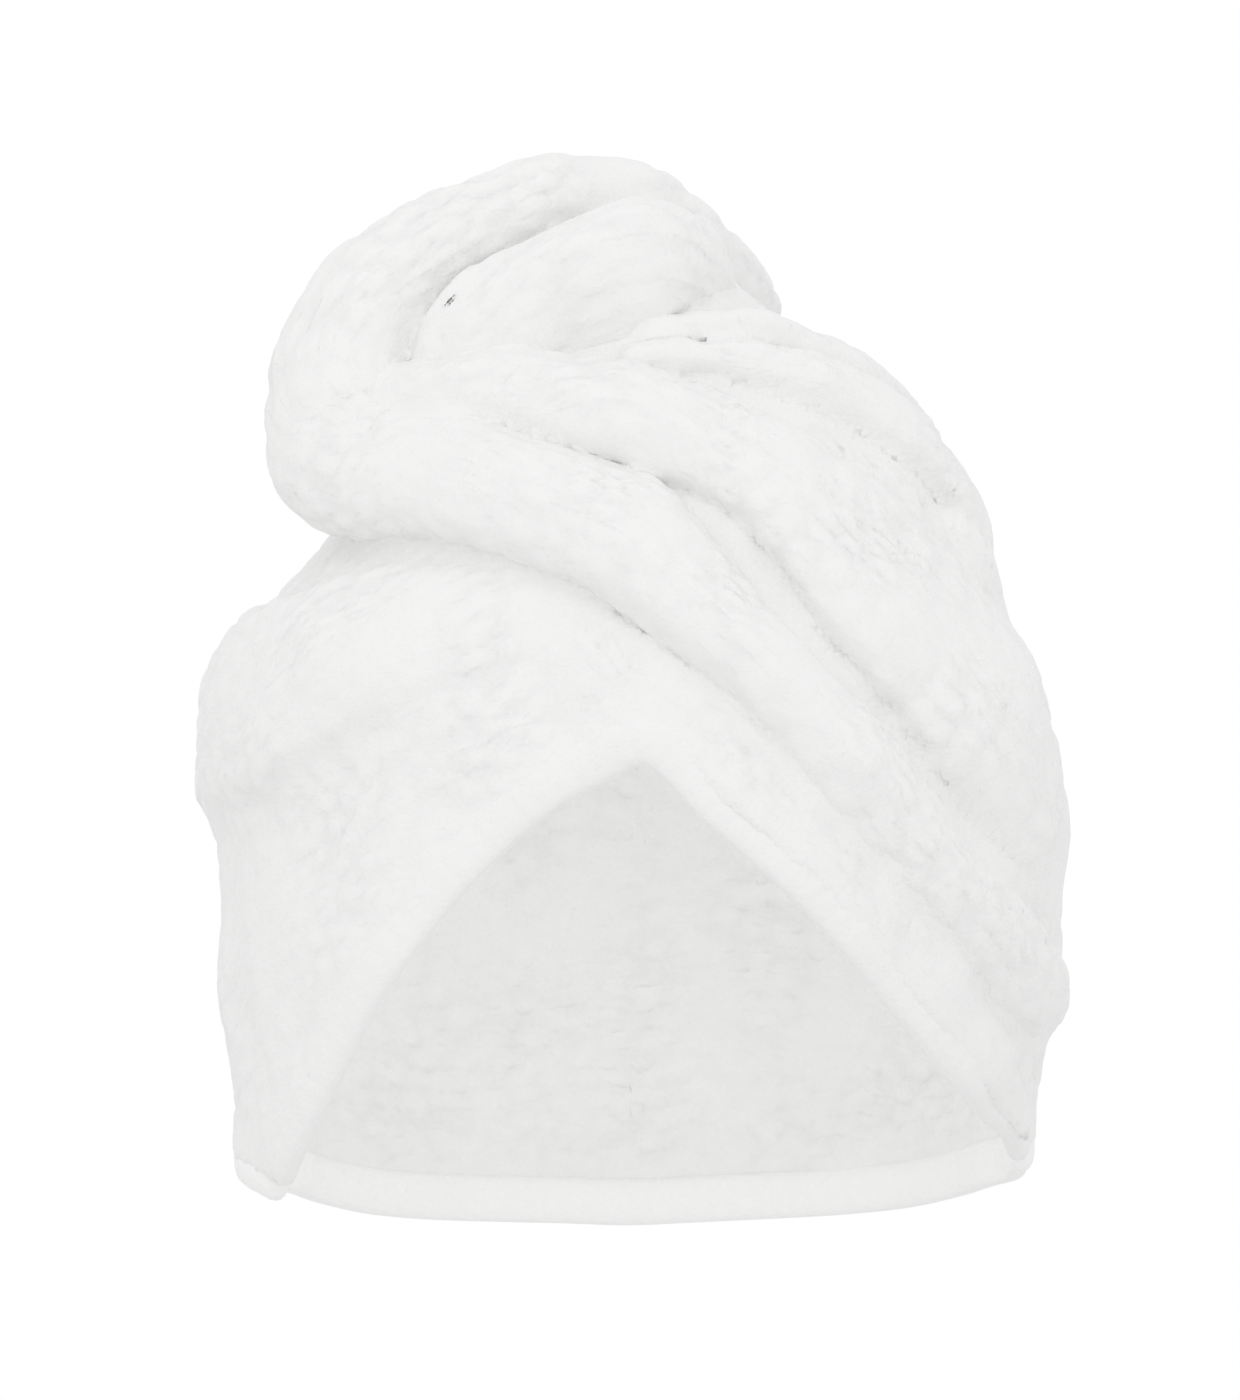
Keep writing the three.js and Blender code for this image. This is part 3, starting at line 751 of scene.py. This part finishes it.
def net_of(field, grid):
    """A mesh of quads over the surface where a field is 0, as points and corner indices."""
    inside = field < 0
    cells = tuple(size - 1 for size in grid.shape)
    total = np.zeros((int(np.prod(cells)), 3))
    count = np.zeros(int(np.prod(cells)))
    quads = []
    for axis in range(3):
        others = [other for other in range(3) if other != axis]
        low = [slice(None)] * 3
        high = [slice(None)] * 3
        low[axis] = slice(0, -1)
        high[axis] = slice(1, None)
        first, second = inside[tuple(low)], inside[tuple(high)]
        spot = np.argwhere(first != second)
        keep = np.all([(spot[:, other] > 0) & (spot[:, other] < cells[other]) for other in others], axis=0)
        spot = spot[keep]
        step = np.eye(3, dtype=int)[axis]
        start = field[tuple(spot.T)]
        end = field[tuple((spot + step).T)]
        crossing = spot + step * (start / (start - end))[:, None]
        corners = []
        for back_one, back_two in ((1, 1), (0, 1), (0, 0), (1, 0)):
            cell = spot.copy()
            cell[:, others[0]] -= back_one
            cell[:, others[1]] -= back_two
            flat = np.ravel_multi_index(tuple(cell.T), cells)
            corners.append(flat)
            for part in range(3):
                total[:, part] += np.bincount(flat, crossing[:, part], len(count))
            count += np.bincount(flat, minlength=len(count))
        quad = np.stack(corners, axis=1)
        # For the middle axis the other two are in turned order, so its corners run the other way
        flip = inside[tuple(spot.T)] if axis != 1 else ~inside[tuple(spot.T)]
        quad[~flip] = quad[~flip][:, ::-1]
        quads.append(quad)
    quads = np.vstack(quads)
    used = np.unique(quads)
    number = np.full(len(count), -1)
    number[used] = np.arange(len(used))
    points = total[used] / count[used][:, None]
    return points * grid.step + grid.low, number[quads]


def settled(points, field, slopes, grid):
    """Points moved onto the surface, with the directions out of it."""
    for _ in range(SETTLING_STEPS):
        slope = grid.sample(slopes, points)
        size = np.maximum(np.sum(slope * slope, axis=1), LEAST_SLOPE)
        move = -grid.sample(field, points) / size
        points = points + slope * np.clip(move, -grid.step / 2, grid.step / 2)[:, None]
    return points, unit(grid.sample(slopes, points))


RANDOM = np.random.default_rng(SEED)


def random_waves(count, lengths):
    """Directions with their frequencies, and phases, of a few waves through space."""
    directions = unit(RANDOM.normal(size=(count, 3)))
    wave = 2 * math.pi / RANDOM.uniform(*lengths, size=(count, 1))
    return directions * wave, RANDOM.uniform(0, 2 * math.pi, count)


def waves_at(points, waves):
    """A soft random value about -1 to 1 at points."""
    directions, phases = waves
    total = np.zeros(len(points))
    for direction, phase in zip(directions, phases):
        total += np.sin(points @ direction + phase)
    return total / math.sqrt(len(phases))


SWELL = random_waves(SWELL_WAVES, SWELL_LENGTHS)
WANDER_LONG = random_waves(WANDER_WAVES, WANDER_LENGTHS)
WANDER_SHORT = random_waves(WANDER_WAVES, WANDER_LENGTHS)
PATCHES = random_waves(PATCH_WAVES, PATCH_LENGTHS)


def unwound(turn):
    """Turns of the corners of faces, each face's within half a turn of its first corner."""
    return turn[:, :1] + (turn - turn[:, :1] + 180) % 360 - 180


def weave_place(corners, label, rolls):
    """Places on the cloth in knobs, along and across its rows, for the corners of faces of one part."""
    points = corners.reshape(-1, 3)
    x, y, z = points.T
    shape = corners.shape[:2]
    if label in (OUTSIDE, LINING):
        turn = unwound(turn_at(x, y, z).reshape(shape)).ravel()
        across, up = turn * WEAVE_TURNS * KNOB_LONG / 360, z
        if label == OUTSIDE:
            lean = np.radians(ROW_LEAN) * np.where(np.repeat(corners[:, 0, 0], shape[1]) < 0, 1, -1)
            across, up = across * np.cos(lean) + up * np.sin(lean), up * np.cos(lean) - across * np.sin(lean)
    else:
        roll = rolls[label - FIRST_ROLL]
        nearest = roll.nearest_to(points)
        along, sideways, outward = roll.local(points, nearest)
        angle = np.degrees(np.arctan2(sideways, outward)).reshape(shape)
        across = roll.run[nearest] + along
        up = np.radians(unwound(angle).ravel()) * (roll.wide[nearest] + roll.thick[nearest]) / 2
    across = across + WEAVE_WANDER * waves_at(points, WANDER_LONG)
    up = up + WEAVE_WANDER * waves_at(points, WANDER_SHORT)
    return np.stack([across / KNOB_LONG, up / KNOB_SHORT], axis=1).reshape(*shape, 2)


def scattered(cell, factors):
    """A fixed random share from 0 to 1 for each cell of the weave."""
    value = np.sin(cell[..., 0] * factors[0] + cell[..., 1] * factors[1]) * STRAY_SPREAD
    return value - np.floor(value)


def pit_share(place):
    """How deep each place lies between the knobs: 0 on a knob and 1 in the pit where several meet."""
    cell = np.floor(place)
    best = np.full(place.shape[:-1], np.inf)
    for along in (-1, 0, 1):
        for across in (-1, 0, 1):
            corner = cell + (along, across)
            stray = np.stack([scattered(corner, factors) for factors in (STRAY_ALONG, STRAY_ACROSS)], axis=-1)
            centre = corner + 0.5 + KNOB_SCATTER * (stray - 0.5) * 2
            best = np.minimum(best, np.linalg.norm(place - centre, axis=-1))
    share = np.clip((best - KNOB_EDGE) / (PIT_MIDDLE - KNOB_EDGE), 0, 1)
    return share * share * (3 - 2 * share)


def crease_field(grid):
    """How far the front's creases press each place in."""
    x, z = np.meshgrid(grid.axes[0], grid.axes[2], indexing="ij")
    flat = np.stack([x.ravel(), z.ravel()], axis=1)
    total = np.zeros(len(flat))
    for deep, wide, places in CREASES:
        line = np.array(places, float)
        best = np.full(len(flat), np.inf)
        fade = np.zeros(len(flat))
        run = run_along(line)
        for index in range(len(line) - 1):
            side = line[index + 1] - line[index]
            share = np.clip((flat - line[index]) @ side / (side @ side), 0, 1)
            distance = np.linalg.norm(flat - line[index] - share[:, None] * side, axis=1)
            closer = distance < best
            best[closer] = distance[closer]
            here = (run[index] + share * (run[index + 1] - run[index])) / run[-1]
            from_end = np.minimum(here, 1 - here) / CREASE_END
            fade[closer] = np.clip(from_end + CREASE_END_DEPTH, 0, 1)[closer]
        total = np.maximum(total, deep * fade * np.exp(-((best / wide) ** 2)))
    ahead = np.clip(-grid.axes[1] / CREASE_FADE, 0, 1)
    return total.reshape(x.shape)[:, None, :] * ahead[None, :, None]


def cloth_mesh(name, field, label, calm, rolls, grid):
    """A mesh of cloth over a field, with its weave raised and its places on the cloth as UVs.

    Both sides of the wall swell the same way, so the lining's swell is turned round.
    """
    points, quads = net_of(field, grid)
    points, normals = settled(points, field, grid.gradient(field), grid)
    centres = points[quads].mean(axis=1)
    spot = np.clip(np.rint((centres - grid.low) / grid.step).astype(int), 0, np.array(grid.shape) - 1)
    face_label = label[tuple(spot.T)]
    uv = np.zeros((len(quads), 4, 2))
    depth = np.zeros((len(quads), 4))
    for part in np.unique(face_label):
        faces = face_label == part
        uv[faces] = weave_place(points[quads[faces]], part, rolls)
        depth[faces] = LINING_PIT_DEPTH if part == LINING else PIT_DEPTH
    count = np.maximum(np.bincount(quads.ravel(), minlength=len(points)), 1)
    depth = np.bincount(quads.ravel(), depth.ravel(), len(points)) / count
    pits = np.bincount(quads.ravel(), pit_share(uv).ravel(), len(points)) / count
    woven = np.clip(WOVEN_MIDDLE + WOVEN_CHANGE * waves_at(points, PATCHES), WOVEN_LEAST, WOVEN_MOST)
    woven *= np.clip(grid.sample(calm, points) / CALM_WIDTH, 0, 1)
    pits *= woven
    lining = np.bincount(quads.ravel(), np.repeat(face_label == LINING, 4), len(points)) / count
    swell = SWELL_RELIEF * waves_at(points, SWELL) * (1 - 2 * lining)
    shift = swell - depth * pits
    points = points + normals * shift[:, None]
    piece = mesh_piece(name, points, quads, uv.reshape(-1, 2))
    # The pit share sinks the pits and also sets the painted shade in their colour
    for title, values in (("pit", pits), ("woven", woven)):
        attribute = piece.data.attributes.new(title, "FLOAT", "POINT")
        attribute.data.foreach_set("value", values.astype(np.float32))
    return piece


def mesh_piece(name, points, faces, uv=None):
    """A smooth piece from points in millimetres, faces, and the places of their corners on the cloth."""
    mesh = bpy.data.meshes.new(name)
    mesh.from_pydata((points * MM).tolist(), [], [list(map(int, face)) for face in faces])
    if uv is not None:
        layer = mesh.uv_layers.new(name="weave")
        layer.data.foreach_set("uv", uv.astype(np.float32).ravel())
    mesh.polygons.foreach_set("use_smooth", [True] * len(mesh.polygons))
    mesh.update()
    piece = bpy.data.objects.new(name, mesh)
    bpy.context.scene.collection.objects.link(piece)
    return piece


def tail_rolls():
    """The three rolls that the tail is wound from."""
    return [
        Roll("front_roll", FRONT_ROLL, ROLL_RADIUS),
        Roll("inner_roll", INNER_ROLL, ROLL_RADIUS),
        Roll("back_fall", BACK_FALL, TAIL_RADIUS),
    ]


def wound(grid, rolls):
    """Field, part numbers and calm of the wound tail, before the hood is taken from it."""
    return folded(grid, rolls, np.full(grid.shape, FAR), np.full(grid.shape, FIRST_ROLL, np.int8))


def make_hood():
    """The hood's piece, with its grid and the field of its outside before its edges are cut."""
    grid = Grid(HOOD_GRID)
    rolls = [Roll(name, rows, ROLL_RADIUS) for name, rows in HOOD_FOLDS.items()]
    outside = outside_field(grid)
    tail = wound(grid, tail_rolls())[0]
    field, label, calm = folded(grid, rolls, outside, np.full(grid.shape, OUTSIDE, np.int8))
    under_tail = tail + TAIL_COVER
    field = np.minimum(field, under_tail) - rounding(field - under_tail, TAIL_BLEND)
    field = np.minimum(field + crease_field(grid), outside)
    calm = np.minimum(calm, np.abs(tail))
    opening, above_rim = opening_field(grid), above_rim_field(grid)
    from_edge = np.maximum(np.minimum(opening, above_rim), 0)
    turned_in = EDGE_RAISE * np.exp(-((from_edge / EDGE_REACH) ** 2))
    field = field - turned_in
    hollow = hollow_field(grid) + turned_in * LINING_RAISE
    label = np.where(-hollow > field, LINING, label)
    calm = np.where(-hollow > field, FAR, calm)
    calm = np.minimum(calm, from_edge * EDGE_CALM)
    folds = field
    field = np.maximum(field, -opening) + rounding(field + opening, EDGE_ROUND)
    field = np.maximum(field, np.maximum(-above_rim, -hollow))
    return cloth_mesh("hood_cloth", field, label, calm, rolls, grid), grid, folds


def make_tail():
    """The wound tail, which ends a little under the hood's outside."""
    grid = Grid(TAIL_GRID)
    rolls = tail_rolls()
    field, label, calm = wound(grid, rolls)
    field = np.maximum(field + crease_field(grid), -outside_field(grid, -TAIL_SINK))
    return cloth_mesh("tail_cloth", field, label, calm, rolls, grid)


def wall_normals(points):
    """Level directions out of the hood's wall at points in it."""
    x, y, z = points.T
    middle, half, front, back = section_at(z, -CLOTH / 2)
    reach = np.where(y < 0, front, back)
    across = np.sign(x - middle) * np.abs(x - middle) ** (SQUARENESS - 1) / half**SQUARENESS
    ahead = np.sign(y) * np.abs(y) ** (SQUARENESS - 1) / reach**SQUARENESS
    return unit(np.stack([across, ahead, np.zeros(len(points))], axis=1))


def sweep(name, points, lift):
    """A hem along a path in the wall: a rolled edge with small puckers, as uneven as the cloth beside it."""
    along = unit(np.gradient(points, axis=0))
    outward = wall_normals(points)
    outward = unit(outward - along * np.sum(outward * along, axis=1, keepdims=True))
    sideways = np.cross(outward, along)
    points = points + outward * (lift + SWELL_RELIEF * waves_at(points, SWELL))[:, None]
    run = run_along(points)
    sides = HEM_SIDES
    angle = np.arange(sides) / sides * 2 * math.pi
    taper = np.clip(np.minimum(run, run[-1] - run) / HEM_THICKNESS, 0, 1)
    taper = np.sqrt(1 - (1 - taper) ** 2)
    ripple = PUCKER_HEIGHT * np.sin(2 * math.pi * run / PUCKER_PITCH)
    pucker = 1 + ripple[:, None] * np.abs(np.sin(angle))[None, :]
    reach_side = np.sign(np.cos(angle)) * np.abs(np.cos(angle)) ** HEM_SIDE_POWER
    reach_out = np.sign(np.sin(angle)) * np.abs(np.sin(angle)) ** HEM_OUT_POWER
    half_wide, half_thick = taper * HEM_WIDTH / 2, taper * HEM_THICKNESS / 2
    rings = (
        points[:, None, :]
        + (half_wide[:, None] * reach_side)[:, :, None] * sideways[:, None, :]
        + (half_thick[:, None] * reach_out * pucker)[:, :, None] * outward[:, None, :]
    )
    count = len(points)
    index = np.arange(count * sides).reshape(count, sides)
    after = np.roll(index, -1, axis=1)
    faces = np.stack([index[:-1], after[:-1], after[1:], index[1:]], axis=-1).reshape(-1, 4).tolist()
    faces.append(index[0][::-1].tolist())
    faces.append(index[-1].tolist())
    flat = rings.reshape(-1, 3)
    around = np.arange(sides + 1) / sides * (HEM_WIDTH + HEM_THICKNESS) * HEM_ROUND_LENGTH
    uv = []
    for ring in range(count - 1):
        for side in range(sides):
            for step, turn in ((0, 0), (0, 1), (1, 1), (1, 0)):
                uv.append((run[ring + step] / KNOB_LONG, around[side + turn] / KNOB_SHORT))
    uv += [(0.5, 0.5)] * (2 * sides)
    return mesh_piece(name, flat, faces, np.array(uv))


def wall_middle(turn, z):
    """Points in the middle of the hood's cloth at turns in degrees and heights."""
    middle, half, front, back = section_at(z, -CLOTH / 2)
    sine, cosine = np.sin(np.radians(turn)), np.cos(np.radians(turn))
    power = 2 / SQUARENESS
    reach = np.where(cosine > 0, -front, back)
    x = middle + half * np.sign(sine) * np.abs(sine) ** power
    return np.stack([x, reach * np.abs(cosine) ** power, z], axis=1)


def make_hems(grid, folds):
    """The two hems: the one round the face stands out with the fold that it edges."""
    face = smooth_path(face_points(), np.linspace(0, 1, FACE_HEM_POINTS))
    ends = face_points()[[0, -1]]
    left, right = (float(turn_at(*end, -CLOTH / 2)) for end in ends)
    turn = np.linspace(left, right - 360, NAPE_HEM_PLACES)
    turn = np.where(turn < -180, turn + 360, turn)
    nape = smooth_path(wall_middle(turn, rim_height(turn)), np.linspace(0, 1, NAPE_HEM_POINTS))
    outside = face + wall_normals(face) * (CLOTH / 2 + EDGE_RAISE)
    lift = np.clip(-grid.sample(folds, outside), 0, HEM_LIFT_MOST)
    padded_lift = np.pad(lift, HEM_LIFT_EVENED // 2, mode="edge")
    lift = np.convolve(padded_lift, np.ones(HEM_LIFT_EVENED) / HEM_LIFT_EVENED, mode="valid")
    return sweep("face_hem_roll", face, lift), sweep("nape_hem_turned", nape, np.zeros(len(nape)))


def make_button():
    """A plain button turned about the way out of the tail's end."""
    roll = Roll("back_fall", BACK_FALL, TAIL_RADIUS)
    index = int(round(BUTTON_ALONG * (len(roll.place) - 1)))
    axis, side = roll.outward[index], roll.sideways[index]
    other = np.cross(axis, side)
    centre = roll.place[index] + axis * (roll.thick[index] - BUTTON_SINK)
    sides = BUTTON_SIDES
    radii = np.array(BUTTON_PROFILE["radius"]) * BUTTON_DIAMETER / 2
    heights = np.array(BUTTON_PROFILE["height"]) * BUTTON_THICKNESS
    points = [centre + axis * heights[0]]
    for radius, height in zip(radii[1:-1], heights[1:-1]):
        for angle in np.arange(sides) / sides * 2 * math.pi:
            outward = side * math.cos(angle) + other * math.sin(angle)
            points.append(centre + axis * height + radius * outward)
    points.append(centre + axis * heights[-1])
    faces = []
    rings = len(radii) - 2
    last = len(points) - 1
    for turn in range(sides):
        after = (turn + 1) % sides
        faces.append([0, 1 + after, 1 + turn])
        faces.append([last, 1 + (rings - 1) * sides + turn, 1 + (rings - 1) * sides + after])
        for ring in range(rings - 1):
            low = 1 + ring * sides
            faces.append([low + turn, low + after, low + sides + after, low + sides + turn])
    return mesh_piece("button_disc", np.array(points), faces)


def add_node(tree, kind, inputs=None, **settings):
    """A node with its settings, its plain input values and the sockets linked to it."""
    node = tree.nodes.new(kind)
    for name, value in settings.items():
        setattr(node, name, value)
    for key, value in (inputs or {}).items():
        if isinstance(value, bpy.types.NodeSocket):
            tree.links.new(value, node.inputs[key])
        else:
            node.inputs[key].default_value = value
    return node


def maths(tree, operation, first, second=0.0):
    return add_node(tree, "ShaderNodeMath", {0: first, 1: second}, operation=operation).outputs[0]


def noise(tree, place, settings):
    """Soft noise from 0 to 1 over places."""
    return add_node(tree, "ShaderNodeTexNoise", {"Vector": place, **settings}).outputs[0]


def ranged(tree, value, limits):
    """A value taken from the range of the first two limits to the range of the last two."""
    return add_node(tree, "ShaderNodeMapRange", dict(enumerate((value, *limits)))).outputs[0]


def bump(tree, height, depth, normal=None):
    """A normal that follows a height, with the depth in millimetres."""
    inputs = {"Height": height, "Strength": 1.0, "Distance": depth * MM}
    if normal is not None:
        inputs["Normal"] = normal
    return add_node(tree, "ShaderNodeBump", inputs).outputs[0]


def new_material(name, settings):
    """A material with its principled shader set, its node tree and that shader."""
    material = bpy.data.materials.new(name)
    material.use_nodes = True
    shader = material.node_tree.nodes["Principled BSDF"]
    for key, value in settings.items():
        shader.inputs[key].default_value = value
    return material, material.node_tree, shader


def cloth_material(name, light, painted_shade_colour):
    """White towelling: knobs with pits between them and short dashes in rows, both darkened with painted
    shade, and a fine terry pile.
    """
    material, tree, shader = new_material(name, CLOTH_FINISH)
    pit = add_node(tree, "ShaderNodeAttribute", attribute_name="pit").outputs["Fac"]
    woven = add_node(tree, "ShaderNodeAttribute", attribute_name="woven").outputs["Fac"]
    place = add_node(tree, "ShaderNodeUVMap", uv_map="weave").outputs[0]
    across = add_node(tree, "ShaderNodeSeparateXYZ", {0: place}).outputs[1]
    wobble = noise(tree, place, ROW_NOISE)
    row = maths(tree, "ADD", across, maths(tree, "MULTIPLY", wobble, ROW_WOBBLE))
    wave = maths(tree, "COSINE", maths(tree, "MULTIPLY", row, 2 * math.pi))
    line = maths(tree, "POWER", maths(tree, "MAXIMUM", wave, 0.0), ROW_SHARPNESS)
    gate = ranged(tree, noise(tree, place, DASH_NOISE), DASH_GATE)
    # The dashes are grooves made by bump, and their colour is darkened with painted shade
    dash = maths(tree, "MULTIPLY", maths(tree, "MULTIPLY", line, gate), woven)
    solid = add_node(tree, "ShaderNodeTexCoord").outputs["Object"]
    pile = noise(tree, solid, PILE_NOISE)
    tufts = noise(tree, solid, TUFT_NOISE)
    painted_shade_by_tufts = ranged(tree, tufts, TUFT_CONTRAST)
    # Painted shade: the colour is darkened in the weave's pits, more or less by the tufts, and along the
    # dashes
    shade = maths(tree, "MULTIPLY", maths(tree, "MULTIPLY", pit, painted_shade_by_tufts), PIT_PAINTED_SHADE)
    painted_shade_amount = maths(tree, "ADD", shade, maths(tree, "MULTIPLY", dash, DASH_PAINTED_SHADE))
    colours = {0: painted_shade_amount, MIX_FIRST: light, MIX_SECOND: painted_shade_colour}
    mix = add_node(tree, "ShaderNodeMix", colours, data_type="RGBA")
    tree.links.new(mix.outputs[MIX_COLOUR], shader.inputs["Base Color"])
    normal = bump(tree, maths(tree, "MULTIPLY", dash, -1.0), DASH_DEPTH)
    normal = bump(tree, tufts, TUFT_HEIGHT, normal)
    normal = bump(tree, pile, PILE_HEIGHT, normal)
    tree.links.new(normal, shader.inputs["Normal"])
    return material


def plain_material(name, colour, roughness):
    return new_material(name, {"Base Color": colour, "Roughness": roughness})[0]


towelling = cloth_material("towelling", CLOTH_LIGHT, CLOTH_PIT_PAINTED_SHADE)
face_hem_cloth = cloth_material("face_hem_towelling", CLOTH_LIGHT, CLOTH_PIT_PAINTED_SHADE)
# Painted light: a lighter copy of the towelling for the hem at the nape
nape_hem_painted_light_cloth = cloth_material("nape_hem_towelling_painted_light", HEM_PAINTED_LIGHT, HEM_PIT_PAINTED_LIGHT_AND_SHADE)
button_plastic = plain_material("button_plastic", BUTTON_COLOUR, BUTTON_ROUGHNESS)

hood, hood_grid, hood_folds = make_hood()
tail = make_tail()
face_hem, nape_hem = make_hems(hood_grid, hood_folds)
button = make_button()

PIECES = (
    (hood, "hood", "towelling", towelling),
    (tail, "tail", "towelling", towelling),
    (face_hem, "face_hem", "hem", face_hem_cloth),
    (nape_hem, "nape_hem", "hem", nape_hem_painted_light_cloth),
    (button, "button", "button", button_plastic),
)
for piece, node, slot_name, material in PIECES:
    piece.data.materials.append(material)
    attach(piece, "root")
    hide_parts(node)

# Floor
bpy.ops.mesh.primitive_circle_add(
    vertices=FLOOR_SIDES, radius=FLOOR_RADIUS, fill_type="NGON", location=(0, 0, FLOOR_HEIGHT)
)
floor = bpy.context.object
floor.name = "floor"
floor.data.materials.append(plain_material("floor_paint", FLOOR_COLOUR, FLOOR_ROUGHNESS))


def area_light(name, place, aim, size, power):
    data = bpy.data.lights.new(name, "AREA")
    data.size = size
    data.energy = power
    light = bpy.data.objects.new(name, data)
    light.location = place
    direction = np.array(aim) - np.array(place)
    yaw = math.atan2(direction[0], -direction[1])
    pitch = math.atan2(np.hypot(direction[0], direction[1]), -direction[2])
    light.rotation_euler = (pitch, 0, yaw + math.pi)
    bpy.context.scene.collection.objects.link(light)


# Lamps
for light_row in LIGHTS:
    area_light(*light_row)

inner = bpy.data.lights.new("inner", "POINT")
inner.shadow_soft_size = INNER_RADIUS
inner.energy = INNER_POWER
inner_lamp = bpy.data.objects.new("inner", inner)
inner_lamp.location = INNER_PLACE
inner_lamp.visible_camera = False
bpy.context.scene.collection.objects.link(inner_lamp)

# World
scene = bpy.context.scene
world = bpy.data.worlds.new("studio")
world.use_nodes = True
background = world.node_tree.nodes["Background"]
background.inputs[0].default_value = (1, 1, 1, 1)
seen = add_node(world.node_tree, "ShaderNodeLightPath").outputs["Is Camera Ray"]
strength = ranged(world.node_tree, seen, (0.0, 1.0, WORLD_LIGHT, WORLD_SHOWN))
world.node_tree.links.new(strength, background.inputs[1])
scene.world = world
scene.view_settings.view_transform = "Standard"

# Camera
camera_data = bpy.data.cameras.new("camera")
camera_data.lens = CAMERA_LENS
camera_data.sensor_width = SENSOR_WIDTH
camera_data.clip_end = CAMERA_REACH
camera = bpy.data.objects.new("camera", camera_data)
camera.location = CAMERA_PLACE
camera.rotation_euler = (math.pi / 2, 0, 0)
scene.collection.objects.link(camera)
scene.camera = camera
